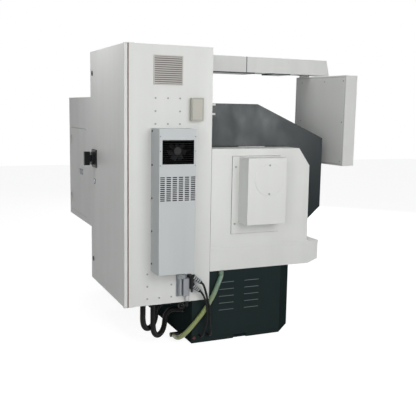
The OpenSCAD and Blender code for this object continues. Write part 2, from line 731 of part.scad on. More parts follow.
// Pivot hinge of the cabinet door: a plate above and one below, each with a pin into the door
pivot_in = 6;
pivot_pin_r = 3;
pivot_pin_l = 30;
pivot_plate = [26, 70, 3];
door_clear = 1;
cab_door_y = [cab_rear + gasket_t, cab_rear + gasket_t + cab_door_t];
pivot_c = [end_x + pivot_in, cab_door_y[1] - pivot_in];
module door_pivots(clear) for (up = [0, 1]) {
    z = up ? cab_top : cabinet_foot;
    translate([pivot_c[0], pivot_c[1], up ? z - pivot_pin_l : z - 1])
        cylinder(h = pivot_pin_l + 1, r = pivot_pin_r + clear);
}
module cabinet() color(white) {
    cabinet_shell();
    cabinet_back();
    door_frame();
    pivot_brackets();
}
// Folded sides, top and bottom
module cabinet_shell() difference() {
    block([end_x, cabinet_front, cabinet_foot], [cab_x1, cab_rear, cab_top]);
    block([end_x + sheet, cabinet_front - 1, cabinet_foot + sheet],
        [cab_x1 - sheet, cab_rear + 1, cab_top - sheet]);
    // Ways through for the exchanger's air, the filter, the sockets and the conduits
    for (c = exch_ports) block([end_x - 1, c[0], c[1]], [end_x + sheet + 1, c[0] + port_w, c[1] + port_w]);
    block([end_x - 1, grille_y0 + grille_rim, grille_z0 + grille_rim],
        [end_x + sheet + 1, grille_y0 + grille_w - grille_rim, grille_z0 + grille_h - grille_rim]);
    block([end_x - 1, socket_y[0] + 12, socket_z[0] + 12],
        [end_x + sheet + 1, socket_y[1] - 12, socket_z[1] - 12]);
    for (c = conduit_ends) translate([c[0], c[1], cabinet_foot - 1]) cylinder(h = sheet + 2, r = conduit_r);
}
// A plate that fits inside the shell, between y0 and y1
module cabinet_plate(y0, y1) {
    reach = sheet + seat_gap;
    block([end_x + reach, y0, cabinet_foot + reach], [cab_x1 - reach, y1, cab_top - reach]);
}
// Back wall towards the machine, with the way into the duct
module cabinet_back() difference() {
    cabinet_plate(cabinet_front, cabinet_front + sheet);
    block([duct_x[0] + sheet, cabinet_front - 1, duct_z0 + sheet],
        [duct_x[1] - sheet, cabinet_front + sheet + 1, duct_z0 + duct_h - sheet]);
}
// Frame round the door opening
module door_frame() difference() {
    cabinet_plate(cab_rear - sheet, cab_rear);
    block([end_x + cab_flange, cab_rear - sheet - 1, cab_open_z[0]],
        [cab_x1 - cab_flange, cab_rear + 1, cab_open_z[1]]);
}
module pivot_brackets() {
    door_pivots(0);
    for (z = [cabinet_foot - pivot_plate[2] - seat_gap, cab_top + seat_gap])
        block([end_x, cab_door_y[1] - pivot_plate[1], z],
            [end_x + pivot_plate[0], cab_door_y[1], z + pivot_plate[2]]);
}
module door_gasket() color("#6b4038") difference() {
    block([end_x + 6, cab_rear, cabinet_foot + 6], [cab_x1 - 6, cab_rear + gasket_t - fit, cab_top - 6]);
    block([end_x + cab_flange - 8, cab_rear - 1, cab_open_z[0] - 8],
        [cab_x1 - cab_flange + 8, cab_rear + gasket_t + 1, cab_open_z[1] + 8]);
}

lock_x = 142;
door_relief = 4;
switch_c = [83, 1273];
module cabinet_door() color(white) {
    difference() {
        translate([0, 0, cabinet_foot + door_clear]) linear_extrude(cabinet_h - 2 * door_clear)
            polygon([[end_x + door_relief, cab_door_y[0]], [cab_x1, cab_door_y[0]], [cab_x1, cab_door_y[1]],
                [end_x, cab_door_y[1]], [end_x, cab_door_y[0] + door_relief]]);
        block([end_x + cab_flange + 6, cab_door_y[0] - 1, cabinet_foot + cab_flange + 6],
            [cab_x1 - cab_flange - 6, cab_door_y[1] - sheet, cab_top - cab_flange - 6]);
        door_pivots(running);
        for (z = lock_zs) translate([lock_x, 0, z])
            bar_y(cab_door_y[0] - 1, cab_door_y[1] + 1, lock_r + running);
        translate([switch_c[0], 0, switch_c[1]]) bar_y(cab_door_y[0] - 1, cab_door_y[1] + 1, 12);
    }
    // Small keyed lock
    translate([88, 0, 1098]) difference() {
        bar_y(cab_door_y[1] - sheet - 20, cab_door_y[1] + 5, 14);
        block([-1.5, cab_door_y[1] + 1, -7], [1.5, cab_door_y[1] + 6, 7]);
    }
}
// Quarter-turn lock, open at rest: its cam hangs down, and swings behind the cabinet's flange to lock
module quarter_lock(z) color(black) translate([lock_x, 0, z]) {
    difference() {
        union() {
            bar_y(cab_door_y[0] - 34, cab_door_y[1] + 4, lock_r);
            bar_y(cab_door_y[1] + fit, cab_door_y[1] + 4, lock_r + 6);
        }
        block([-5, cab_door_y[1] - 8, -5], [5, cab_door_y[1] + 5, 5]);
    }
    block([-10, cab_door_y[0] - 34, -46], [10, cab_door_y[0] - 29, 10]);
}
module upper_lock() quarter_lock(lock_zs[1]);
module lower_lock() quarter_lock(lock_zs[0]);
module switch_plate() color(black) translate([switch_c[0], 0, switch_c[1]]) difference() {
    union() {
        along_y(cab_door_y[1], cab_door_y[1] + 8) round_rect(switch_plate, switch_plate, 10);
        bar_y(cab_door_y[1], cab_door_y[1] + switch_t, 50);
    }
    bar_y(cab_door_y[1] - 1, cab_door_y[1] + switch_t + 1, 9 + running);
}
module switch_handle() color(black) translate([switch_c[0], 0, switch_c[1]]) {
    bar_y(cab_door_y[0] - 60, cab_door_y[1] + switch_t + 4, 9);
    bar_y(cab_door_y[1] + switch_t + fit, cab_door_y[1] + switch_t + 18, 26);
    along_y(cab_door_y[1] + switch_t + 10, cab_door_y[1] + switch_t + 52) round_rect(30, 104, 12);
}

plate_y = cabinet_front + 44;
module mounting_plate() color("#b7bbbe") {
    block([end_x + 60, plate_y, cabinet_foot + 80], [cab_x1 - 60, plate_y + 3, cab_top - 170]);
    for (x = [end_x + 80, cab_x1 - 80], z = [cabinet_foot + 110, cab_top - 200])
        translate([x, 0, z]) bar_y(cabinet_front + sheet, plate_y + 1, 10);
    // Drives above, wiring trunks, contactors on a rail below
    for (i = [0 : 3]) block([-600 + 165 * i, plate_y + 2, 1380], [-460 + 165 * i, plate_y + 210, 1780]);
    for (z = [1300, 1000, 640]) block([end_x + 80, plate_y + 2, z], [cab_x1 - 80, plate_y + 62, z + 50]);
    block([-600, plate_y + 2, 1160], [60, plate_y + 10, 1195]);
    for (i = [0 : 6]) block([-590 + 88 * i, plate_y + 9, 1120], [-516 + 88 * i, plate_y + 90, 1235]);
    block([-600, plate_y + 2, 760], [-360, plate_y + 190, 940]);
    block([-300, plate_y + 2, 760], [40, plate_y + 120, 940]);
}

grille_t = 6;
module filter_grille() color("#c9cac6") {
    step = (grille_h - 2 * grille_rim) / grille_slats;
    lean = step * 0.28;
    difference() {
        block([end_x - grille_t, grille_y0, grille_z0], [end_x, grille_y0 + grille_w, grille_z0 + grille_h]);
        block([end_x - grille_t - 1, grille_y0 + grille_rim, grille_z0 + grille_rim],
            [end_x + 1, grille_y0 + grille_w - grille_rim, grille_z0 + grille_h - grille_rim]);
    }
    for (i = [0 : grille_slats - 1]) translate([end_x, 0, grille_z0 + grille_rim + step * (i + 0.5)])
        along_y(grille_y0 + grille_rim - 1, grille_y0 + grille_w - grille_rim + 1)
            polygon([[-grille_t + 0.5, -lean], [-grille_t + 2.5, -lean], [-0.5, lean], [-2.5, lean]]);
}

jbox_y0 = 457;
jbox_z0 = 1578;
jbox_lid = 14;
jbox_lip = 2;
module junction_box() color("#c4c1b4") {
    block([end_x - jbox_d + jbox_lid - 1, jbox_y0 + jbox_lip, jbox_z0 + jbox_lip],
        [end_x, jbox_y0 + jbox_w - jbox_lip, jbox_z0 + jbox_h - jbox_lip]);
    block([end_x - jbox_d, jbox_y0, jbox_z0],
        [end_x - jbox_d + jbox_lid, jbox_y0 + jbox_w, jbox_z0 + jbox_h]);
}

fan_window_y = [575, 795];
fan_window_z = [1300, 1457];
fan_c = [678, 1386];
vent_y0 = 564;
vent_z0 = 1060;
vent_pitch_y = 42.6;
vent_pitch_z = 12.6;
vent_slot = [31, 7];
module heat_exchanger() color(blue_grey) {
    y_in = [exch_y0 + sheet - 1, exch_y0 + exch_w - sheet + 1];
    difference() {
        block([exch_x, exch_y0, exch_z], [end_x, exch_y0 + exch_w, exch_z + exch_h]);
        block([exch_x + sheet, exch_y0 + sheet, exch_z + sheet],
            [end_x + 1, exch_y0 + exch_w - sheet, exch_z + exch_h - sheet]);
        block([exch_x - 1, fan_window_y[0], fan_window_z[0]],
            [exch_x + sheet + 1, fan_window_y[1], fan_window_z[1]]);
        for (i = [0 : vent_cols - 1], j = [0 : vent_rows - 1])
            translate([exch_x - 1, vent_y0 + vent_pitch_y * i, vent_z0 + vent_pitch_z * j])
                cube([sheet + 2, vent_slot[0], vent_slot[1]]);
    }
    // Cooling pack, and the spider with the fan's motor
    block([exch_x + 60, y_in[0], exch_z + 120], [end_x - 30, y_in[1], exch_z + 420]);
    translate([0, 0, fan_c[1]]) difference() {
        union() {
            translate([0, fan_c[0], 0]) bar_x(exch_x + 62, exch_x + 100, 34);
            block([exch_x + 90, y_in[0], -8], [exch_x + 98, y_in[1], 8]);
        }
        translate([0, fan_c[0], 0]) bar_x(exch_x + 50, exch_x + 86, fan_shaft_r + running);
    }
}
fan_shaft_r = 5;
module exchanger_fan() color(black) translate([0, fan_c[0], fan_c[1]]) {
    bar_x(exch_x + 30, exch_x + 58, 26);
    bar_x(exch_x + 50, exch_x + 84, fan_shaft_r);
    for (i = [0 : fan_blades - 1]) rotate([360 * i / fan_blades, 0, 0])
        translate([exch_x + 44, 0, 22]) rotate([0, 0, 35]) block([-1.5, -19, 0], [1.5, 19, fan_r - 24]);
}
guard_lip = [8, 6];
guard_bars = 13;
guard_x = [exch_x + sheet, exch_x + sheet + 2];
// Guard behind the window: a frame with bars across
module fan_guard() color(black) {
    z0 = fan_window_z[0] - guard_lip[1];
    z1 = fan_window_z[1] + guard_lip[1];
    pitch = (z1 - z0 - 2) / (guard_bars - 1);
    for (y = [fan_window_y[0] - guard_lip[0], fan_window_y[1] - 1])
        block([guard_x[0], y, z0], [guard_x[1], y + guard_lip[0] + 1, z1]);
    for (i = [0 : guard_bars - 1]) block([guard_x[0], fan_window_y[0] - guard_lip[0], z0 + pitch * i],
        [guard_x[1], fan_window_y[1] + guard_lip[0], z0 + pitch * i + 2]);
}

// ---- Overhead duct and operator's pendant ----

duct_seam = -160;
duct_z = [duct_z0, duct_z0 + duct_h];
pivot_z = duct_z[0];
swivel_t = 17;
post_r = 22;
pendant_z1 = pivot_z - swivel_t;
pendant_z0 = pendant_z1 - pendant_h;
module duct_section(y0, y1) difference() {
    block([duct_x[0], y0, duct_z[0]], [duct_x[1], y1, duct_z[1]]);
    block([duct_x[0] + sheet, y0 - 1, duct_z[0] + sheet], [duct_x[1] - sheet, y1 + 1, duct_z[1] - sheet]);
}
module overhead_duct() color(white) {
    duct_section(duct_seam + 1.5, cabinet_front);
    difference() {
        along_x(duct_x[0], duct_x[1]) polygon([[duct_seam, duct_z[0]], [duct_seam, duct_z[1]],
            [-duct_reach, duct_z[1]], [-duct_reach - duct_rake, duct_z[0]]]);
        along_x(duct_x[0] + sheet, duct_x[1] - sheet) polygon([[duct_seam + 1, duct_z[0] + sheet],
            [duct_seam + 1, duct_z[1] - sheet], [-duct_reach + sheet, duct_z[1] - sheet],
            [-duct_reach - duct_rake + sheet + 2, duct_z[0] + sheet]]);
        translate([0, -pivot_y, duct_z[0] - 1]) cylinder(h = sheet + 2, r = post_r);
    }
    // Joining frame inside the seam, and the fixed half of the swivel
    difference() {
        block([duct_x[0] + sheet - 1, duct_seam - 24, duct_z[0] + sheet - 1],
            [duct_x[1] - sheet + 1, duct_seam + 24, duct_z[1] - sheet + 1]);
        block([duct_x[0] + 2 * sheet, duct_seam - 25, duct_z[0] + 2 * sheet],
            [duct_x[1] - 2 * sheet, duct_seam + 25, duct_z[1] - 2 * sheet]);
    }
    translate([0, -pivot_y, 0]) difference() {
        translate([0, 0, pendant_z1 + fit]) cylinder(h = swivel_t, r = 40);
        translate([0, 0, pendant_z1 - 1]) cylinder(h = swivel_t + 10, r = post_r);
    }
}

// The pendant's own frame: origin on its pivot, X along its width to the far edge, front at -Y
module on_pendant() { translate([0, -pivot_y, 0]) rotate([0, 0, pendant_turn]) children(); }
pend_x = [pivot_inset - pendant_w, pivot_inset];
pend_front = pivot_inset - pendant_t;
pend_back = pivot_inset - 15;
screen_w = 305;
screen_h = 230;
screen_c = [pend_x[0] + 200, pendant_z1 - 165];
knob_c = [pend_x[1] - 85, pendant_z0 + 300];
wheel_c = [pend_x[1] - 90, pendant_z0 + 110];
stop_c = [pend_x[0] + 70, pendant_z0 + 110];
start_c = [pend_x[0] + 160, pendant_z0 + 110];
hold_c = [pend_x[0] + 225, pendant_z0 + 110];
button_r = 13;
stop_r = 20;
module pendant_hole(c, r) { translate([c[0], 0, c[1]]) bar_y(pend_front - 1, pend_front + 40, r); }
module pendant_case() color(white) on_pendant() difference() {
    union() {
        difference() {
            block([pend_x[0], pend_front, pendant_z0], [pend_x[1], pend_back, pendant_z1]);
            block([pend_x[0] + sheet, pend_front + sheet, pendant_z0 + sheet],
                [pend_x[1] - sheet, pend_back + 1, pendant_z1 - sheet]);
        }
        // Hollow post that turns in the duct's floor, with its collar
        translate([0, 0, pendant_z1 - sheet]) cylinder(h = 2 * sheet + swivel_t + 12, r = post_r - running);
        translate([0, 0, pivot_z + sheet + fit]) cylinder(h = 11, r = post_r + 10);
        // Bosses behind the controls
        for (c = [knob_c, wheel_c, stop_c, start_c, hold_c])
            translate([c[0], 0, c[1]]) bar_y(pend_front, pend_front + 22, 24);
    }
    translate([0, 0, pendant_z1 - sheet - 1]) cylinder(h = 90, r = post_r - sheet - 1);
    for (c = [knob_c, wheel_c]) pendant_hole(c, 5 + running);
    pendant_hole(stop_c, 9 + running);
    for (c = [start_c, hold_c]) pendant_hole(c, button_r + running);
    translate([screen_c[0], 0, screen_c[1]]) along_y(pend_front - 1, pend_front + sheet + 1)
        square([screen_w - 20, screen_h - 20], center = true);
}
pend_screw_x = [pend_x[0] + 28, (pend_x[0] + pend_x[1]) / 2, pend_x[1] - 28];
module pendant_back() color(white) on_pendant() {
    block([pend_x[0], pend_back, pendant_z0], [pend_x[1], pivot_inset, pendant_z1]);
    for (x = pend_screw_x, z = [pendant_z0 + 28, pendant_z1 - 28])
        translate([x, 0, z]) bar_y(pivot_inset - 1, pivot_inset + 3, 6);
}
module screen() color("#26313a") on_pendant() translate([screen_c[0], 0, screen_c[1]]) difference() {
    along_y(pend_front + sheet, pend_front + sheet + 24) square([screen_w, screen_h], center = true);
    along_y(pend_front + sheet - 1, pend_front + sheet + 2)
        square([screen_w - 34, screen_h - 34], center = true);
}
// Film keypad: raised key fields on a thin panel
module operator_panel() color("#3c4246") on_pendant() {
    block([pend_x[0] + 36, pend_front - 2, pendant_z0 + 190],
        [pend_x[1] - 150, pend_front, pendant_z1 - 300]);
    for (i = [0 : 8], j = [0 : 3]) translate([pend_x[0] + 60 + 43 * i, 0, pendant_z0 + 215 + 43 * j])
        along_y(pend_front - 3.2, pend_front - 1.5) square([30, 30], center = true);
    block([screen_c[0] + screen_w / 2 + 12, pend_front - 2, screen_c[1] - screen_h / 2],
        [pend_x[1] - 20, pend_front, screen_c[1] + screen_h / 2]);
    for (i = [0 : 3], j = [0 : 5])
        translate([screen_c[0] + screen_w / 2 + 42 + 43 * i, 0, screen_c[1] - 92 + 37 * j]) along_y(pend_front - 3.2, pend_front - 1.5) square([32, 27], center = true);
}
module stop_mushroom() color("#c22a22") on_pendant() translate([stop_c[0], 0, stop_c[1]]) {
    bar_y(pend_front - 20, pend_front + 12, 9);
    translate([0, pend_front, 0]) rotate([90, 0, 0]) rotate_extrude()
        polygon([[0, 14], [stop_r - 4, 14], [stop_r, 18], [stop_r - 1, 25], [stop_r - 7, 30], [0, 32]]);
}
module push_button(c) on_pendant() translate([c[0], 0, c[1]]) difference() {
    bar_y(pend_front - 8, pend_front + 14, button_r);
    bar_y(pend_front - 9, pend_front - 7, button_r - 3);
}
module start_button() color("#2f8f4e") push_button(start_c);
module hold_button() color("#c9a227") push_button(hold_c);
module feed_knob() color(black) on_pendant() translate([knob_c[0], 0, knob_c[1]]) {
    bar_y(pend_front - 10, pend_front + 18, 5);
    difference() {
        bar_y(pend_front - 26, pend_front - fit, 19);
        for (a = [0 : 30 : 330]) rotate([0, a, 0]) translate([20.5, 0, 0])
            bar_y(pend_front - 27, pend_front - 6, 3);
        block([-1, pend_front - 27, 4], [1, pend_front - 25, 18]);
    }
}
module handwheel() color("#2b2d30") on_pendant() translate([wheel_c[0], 0, wheel_c[1]]) {
    bar_y(pend_front - 10, pend_front + 18, 5);
    bar_y(pend_front - 14, pend_front - fit, 34);
    bar_y(pend_front - 20, pend_front - 13, 28);
    translate([18, 0, 0]) bar_y(pend_front - 46, pend_front - 19, 7);
}

// ---- Slides and turret ----

saddle_x = [330, 330 + saddle_l];
saddle_s = [120, 430];
saddle_n = [rail_h - 22, 107];
x_ways = [30, 165];
x_way_w = 25;
x_screw_x = saddle_x[0] + 112;
x_screw_n = 122;
x_screw_r = 10;
slide_s = [145, 385];
slide_n = [x_screw_n + 13 + slide_gap, 197];
module z_motor() color(black) on_slant() translate([0, screw_s, screw_n]) {
    block([bed_x1, -45, -24], [bed_x1 + 92, 45, 66]);
}
module z_screw() color(machined) on_slant() translate([0, screw_s, screw_n])
    bar_x(bed_split + 2, bed_x1 - fit, screw_r);
module way_slot(s, x0, x1) block([x0 - 1, s - rail_w / 2 - slide_gap, rail_h - 60],
    [x1 + 1, s + rail_w / 2 + slide_gap, rail_h + slide_gap]);
module z_saddle() color(cast) on_slant() {
    difference() {
        union() {
            block([saddle_x[0], saddle_s[0], saddle_n[0]], [saddle_x[1], saddle_s[1], saddle_n[1]]);
            block([saddle_x[0] + 70, screw_s - 26, 5], [saddle_x[1] - 70, screw_s + 26, saddle_n[0] + 1]);
            for (x = x_ways) block([saddle_x[0] + x, saddle_s[0] + 10, saddle_n[1] - 1],
                [saddle_x[0] + x + x_way_w, saddle_s[1], x_screw_n + 13]);
            block([x_screw_x - 24, saddle_s[0] + 4, saddle_n[1] - 1],
                [x_screw_x + 24, saddle_s[0] + 18, x_screw_n + x_screw_r + 3]);
            block([x_screw_x - 40, saddle_s[1] - 1, x_screw_n - 34],
                [x_screw_x + 40, saddle_s[1] + 90, x_screw_n + 34]);
        }
        for (s = saddle_ways) way_slot(s, saddle_x[0], saddle_x[1]);
        translate([0, screw_s, screw_n]) bar_x(saddle_x[0] - 1, saddle_x[1] + 1, screw_r + running);
        block([saddle_x[0] - 1, screw_s - 26, 0], [saddle_x[0] + 70, screw_s + 26, screw_n + 24]);
        block([saddle_x[1] - 70, screw_s - 26, 0], [saddle_x[1] + 1, screw_s + 26, screw_n + 24]);
        translate([x_screw_x, 0, x_screw_n]) bar_y(saddle_s[0], saddle_s[1] + 40, x_screw_r + running);
    }
}
module x_screw() color(machined) on_slant() translate([x_screw_x, 0, x_screw_n])
    bar_y(saddle_s[0] + 5, saddle_s[1] + 30, x_screw_r);
disc_s = 276;
disc_x0 = 258;
tool_r = 165;
module x_slide() color(cast) on_slant() difference() {
    union() {
        block([saddle_x[0] + 5, slide_s[0], slide_n[0]], [saddle_x[1] - 5, slide_s[1], slide_n[1]]);
        block([saddle_x[0] + x_ways[0] + x_way_w + slide_gap, slide_s[1] - 80, x_screw_n - 13],
            [saddle_x[0] + x_ways[1] - slide_gap, slide_s[1] - 10, slide_n[0] + 1]);
        // Turret housing with its indexing motor
        block([saddle_x[0], disc_s - 90, slide_n[1] - 1], [saddle_x[0] + 150, disc_s + 90, plane_d + 105]);
        translate([0, disc_s, plane_d]) bar_x(saddle_x[0] + 149, saddle_x[0] + 230, 62);
    }
    translate([x_screw_x, 0, x_screw_n]) bar_y(slide_s[0] - 1, slide_s[1] + 1, x_screw_r + running);
    translate([0, disc_s, plane_d]) bar_x(saddle_x[0] - 1, saddle_x[0] + 61, 40 + running);
}
module turret_disc() color(machined) on_slant() translate([0, disc_s, plane_d]) {
    difference() {
        bar_x(disc_x0, disc_x0 + disc_t, disc_r);
        for (i = [0 : stations - 1]) rotate([360 * i / stations + 22.5, 0, 0])
            block([disc_x0 + 10, -6, disc_r - 16], [disc_x0 + disc_t + 1, 6, disc_r + 1]);
    }
    bar_x(disc_x0 + disc_t - 1, saddle_x[0] + 60, 40);
    // Tool holders: turning tools and round-shank holders by turns
    for (i = [0 : stations - 1]) rotate([360 * i / stations, 0, 0])
        if (i % 2 == 0) {
            block([disc_x0 - 14, -22, disc_r - 40], [disc_x0 + 40, 22, disc_r + 12]);
            block([disc_x0 - 6, -9, disc_r], [disc_x0 + 12, 9, tool_r]);
        } else {
            block([disc_x0 - 12, -25, disc_r - 56], [disc_x0 + 30, 25, disc_r + 8]);
            translate([0, 0, disc_r - 24]) bar_x(disc_x0 - 44, disc_x0, 12);
        }
}

tail_x = [780, 960];
tail_n = [rail_h - 22, 92];
quill_x = [700, tail_x[1] - 20];
module tailstock() color(machined) on_slant() difference() {
    union() {
        block([tail_x[0], -108, tail_n[0]], [tail_x[1], 92, tail_n[1]]);
        along_x(tail_x[0], tail_x[1])
            polygon([[-80, tail_n[1] - 1], [80, tail_n[1] - 1], [52, plane_d], [-52, plane_d]]);
        translate([0, 0, plane_d]) bar_x(tail_x[0] - 20, tail_x[1], 66);
    }
    for (s = tail_ways) way_slot(s, tail_x[0], tail_x[1]);
    translate([0, 0, plane_d]) bar_x(tail_x[0] - 21, tail_x[1] - 10, quill_r + running);
}
centre_r = 16;
module quill() color(machined) on_axis() difference() {
    bar_x(quill_x[0], quill_x[1], quill_r);
    bar_x(quill_x[0] - 1, quill_x[0] + 60, centre_r + running);
}
module live_centre() color(machined) on_axis() turned([[quill_x[0] - 62, 0], [quill_x[0] - 34, 16],
    [quill_x[0] - 34, 28], [quill_x[0] - 4, 28], [quill_x[0] - 4, centre_r], [quill_x[0] + 55, centre_r],
    [quill_x[0] + 55, 0]]);

// ---- Fittings, cords and fasteners ----

// The plug hoods: the near and far edge along the wall, the foot, the top and the depth
hoods = [[602, 620, 377, 498, 42], [547, 592, 374, 497, 47]];
hood_round = 6;
cable_d = 15;
exit_1 = [-750, 461, 460];
exit_2 = [-750, 470, 401];
exit_angles = [38, 40];
exit_ls = [86, 77];
exit_lead = 15;
// Where a cable is after a straight lead out of its sleeve
function led_out(p, a) = p - exit_lead * [0, cos(a), sin(a)];
base_glands = [[380, 58], [440, 56]];
gland_l = 20;
gland_r = 11.5;
side_glands = [[-533, 277], [-530, 216]];
side_gland_l = 15;
hose_x = -708;
hose_y = 288;
hose_r = 17;
stub = [-560, 596, 39];
// A cable's way out of a hood: a ribbed sleeve that widens from the cable up to the hood
module cable_exit(p, a, l) {
    neck = 14;
    ribs = 6;
    step = (l - neck) / ribs;
    translate(p) rotate([a - 90, 0, 0]) rotate_extrude() polygon(concat([[0, 0], [10, 0], [10, neck]],
        [for (i = [0 : ribs - 1]) let (r = 13 + i, z = neck + step * i)
            each [[r, z], [r, z + step * 0.6], [r - 2.5, z + step * 0.6], [r - 2.5, z + step]]], [[0, l]]));
}
module hood(y0, y1, z0, z1, d) translate([end_x - 3 - d / 2, (y0 + y1) / 2, z0])
    linear_extrude(z1 - z0) round_rect(d, y1 - y0, hood_round);
module cable_fittings() color("#8f9298") {
    // Socket plate on the cabinet's side, two plug hoods with a cap over them, and their bail
    block([end_x - 4, socket_y[0] - 3, socket_z[0] - 3], [end_x, socket_y[1] + 4, socket_z[1] + 5]);
    for (h = hoods) hood(h[0], h[1], h[2], h[3], h[4]);
    hood(574, 628, hoods[1][3] - 1, hoods[1][3] + 30, 36);
    block([end_x - 66, 522, 425], [end_x - 3, 548, hoods[1][3] + 22]);
    block([end_x - 74, 532, 404], [end_x - 62, 544, hoods[1][3] + 8]);
    cable_exit(exit_1, exit_angles[0], exit_ls[0]);
    cable_exit(exit_2, exit_angles[1], exit_ls[1]);
    // Gland under the second hood
    translate([end_x - 24, 556, 334]) {
        cylinder(h = hoods[1][2] - 333, r = 13);
        translate([0, 0, -40]) cylinder(h = 41, r = 10);
    }
    // Clamp ring under the cabinet
    translate([0, 583, cabinet_foot - 27]) difference() {
        union() {
            bar_x(end_x + 2, end_x + 18, 24);
            block([end_x + 2, -9, 15], [end_x + 18, 9, 27]);
        }
        bar_x(end_x + 1, end_x + 19, 17);
    }
    // Glands of the conduits, of the cables, and the drain plug beside them
    for (c = conduit_ends) translate([c[0], c[1], cabinet_foot - side_gland_l])
        cylinder(h = side_gland_l, r = conduit_r + 6);
    for (g = side_glands) translate([g[0], 0, g[1]])
        bar_y(base_rear, base_rear + side_gland_l, conduit_r + 6);
    for (g = base_glands) translate([0, g[0], g[1]]) {
        bar_x(base_x0 - 8, base_x0, gland_r);
        bar_x(base_x0 - gland_l, base_x0 - 7, gland_r - 1.5);
    }
    translate([0, base_rear - 16, 42]) bar_x(base_x0 - 10, base_x0, 11);
    // Elbows at both ends of the coolant hose
    translate([hose_x, hose_y, 496]) cylinder(h = 23, r = hose_r);
    translate([0, hose_y, 507.5]) bar_x(hose_x, base_x0 - sheet, 10);
    translate([stub[0], 0, stub[2]]) bar_y(base_rear, stub[1] + 20, 17);
    translate([0, stub[1], stub[2]]) bar_x(stub[0] - 26, stub[0], 15);
}

cable_1 = [exit_1, led_out(exit_1, exit_angles[0]), [-750.5, 440.5, 437], [-751, 433.5, 418],
    [-752, 429, 403], [-753, 422, 377], [-753, 415, 352], [-753, 409, 328], [-753, 402, 302], [-753, 397, 278], [-753, 394, 252], [-753, 392, 222],
    [-753, 391, 188], [-753, 389, 155], [-753, 384, 122], [-753, 381, 103], [-747, 380, 80],
    [-731, 380, 64], [-714, 380, 58], [base_x0 - gland_l, base_glands[0][0], base_glands[0][1]]];
cable_2 = [exit_2, led_out(exit_2, exit_angles[1]), [-751, 449, 377], [-752, 438, 357], [-753, 428, 335], [-753, 421, 312],
    [-754, 416, 290], [-754, 412, 262], [-754, 410, 232], [-754, 411, 200], [-754, 416, 165],
    [-754, 424, 135], [-753, 432, 110], [-751, 436, 93], [-743, 439, 73], [-728, 440, 60],
    [-714, 440, 56], [base_x0 - gland_l, base_glands[1][0], base_glands[1][1]]];
route_1 = [[-640, 850, 305], [-640, 850, 250], [-640, 850, 205], [-633, 841, 162], [-613, 817, 131],
    [-587, 783, 120], [-560, 750, 131], [-540, 726, 162], [-533, 717, 205], [-533, 711, 236],
    [-533, 694, 262], [-533, 668, 279], [-533, 637, 285], [-533, 600, 283], [-533, 565, 278],
    [-533, 545, 277], [-533, 515, 277]];
route_2 = [[-640, 775, 305], [-640, 775, 250], [-640, 775, 200], [-640, 775, 147], [-632, 766, 104],
    [-611, 742, 72], [-582, 710, 60], [-554, 677, 72], [-533, 654, 104], [-525, 645, 147], [-525, 635, 184],
    [-526, 608, 212], [-528, 572, 220], [-530, 545, 216], [-530, 515, 216]];
hose_route = [[hose_x, hose_y, 496], [hose_x, hose_y, 484], [-711, 300, 458], [-716, 321, 415],
    [-720, 350, 355], [-723, 377, 312], [-725, 405, 272], [-725, 440, 226], [-724, 476, 183],
    [-722, 510, 145], [-716, 541, 110], [-704, 566, 82], [-684, 584, 60], [-655, 594, 46],
    [-620, 596, 39], [stub[0] - 26, stub[1], stub[2]]];
module connector_cable_1() color(black) cord(cable_1, cable_d);
module connector_cable_2() color(black) cord(cable_2, cable_d);
module conduit_1() color(black) cord(route_1, 2 * conduit_r, 12);
module conduit_2() color(black) cord(route_2, 2 * conduit_r, 12);
module coolant_hose() color("#7d8f52") cord(hose_route, 2 * hose_r, 12);

// Cap screws, each with a socket in its head
module cap_screw(r) difference() {
    cylinder(h = 4, r = r);
    translate([0, 0, 2]) cylinder(h = 3, r = r * 0.5, $fn = 6);
}
module end_screws(x, r, yz) for (p = yz) translate([x, p[0], p[1]]) rotate([0, -90, 0]) cap_screw(r);
upper_bolts = [for (y = [614, 700, 787], z = [1556, 1640, 1725]) if (y != 700 || z != 1640) [y, z]];
lower_bolts = [for (y = [664, 752, 839], z = [367, 453, 540]) if (y != 752 || z != 453) [y, z]];
flange_screw_zs = [flange_z[0] + 72, flange_z[1] - 74];
module screws() color("#7f8385") {
    end_screws(end_x, 6, concat(upper_bolts, lower_bolts));
    end_screws(end_x - flange_t, 7,
        [for (y = [flange_y[0] + 14, flange_y[1] - 24], z = flange_screw_zs) [y, z]]);
    end_screws(end_x - box_d - bar_plate_t, 7, [for (up = [-100, 100]) [0, spindle_h + up]]);
    end_screws(exch_x, 3,
        [for (y = [exch_y0 + 6, exch_y0 + exch_w - 6], up = [-94, 0, 94]) [y, fan_c[1] + up]]);
    // Along the sides of the heat exchanger
    for (i = [0 : 4]) {
        z = exch_z + 52 + 223 * i;
        translate([end_x - 24, exch_y0 + exch_w, z]) rotate([-90, 0, 0]) cap_screw(6);
        translate([end_x - 24, exch_y0, z]) rotate([90, 0, 0]) cap_screw(6);
    }
}

base();
base_end_panel();
bed();
chip_tray();
headstock();
main_motor();
drive_belt();
end_cover();
actuator_cover();
enclosure();
rear_housing();
cabinet();
door_gasket();
mounting_plate();
filter_grille();
junction_box();
heat_exchanger();
fan_guard();
cable_fittings();
connector_cable_1();
connector_cable_2();
conduit_1();
conduit_2();
coolant_hose();
overhead_duct();
screws();
z_motor();
cabinet_door();
upper_lock();
lower_lock();
switch_plate();
switch_handle();
rear_door();
rear_latch();
front_door();
door_window();
pendant_case();
pendant_back();
screen();
operator_panel();
stop_mushroom();
start_button();
hold_button();
feed_knob();
handwheel();
spindle();
chuck();
jaw_1();
jaw_2();
jaw_3();
motor_rotor();
exchanger_fan();
z_saddle();
z_screw();
x_slide();
x_screw();
turret_disc();
tailstock();
quill();
live_centre();
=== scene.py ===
import json
import logging
import math
from dataclasses import dataclass
from enum import Enum
from typing import Sequence

import bmesh
import bpy
import numpy as np
from mathutils import Matrix, Vector

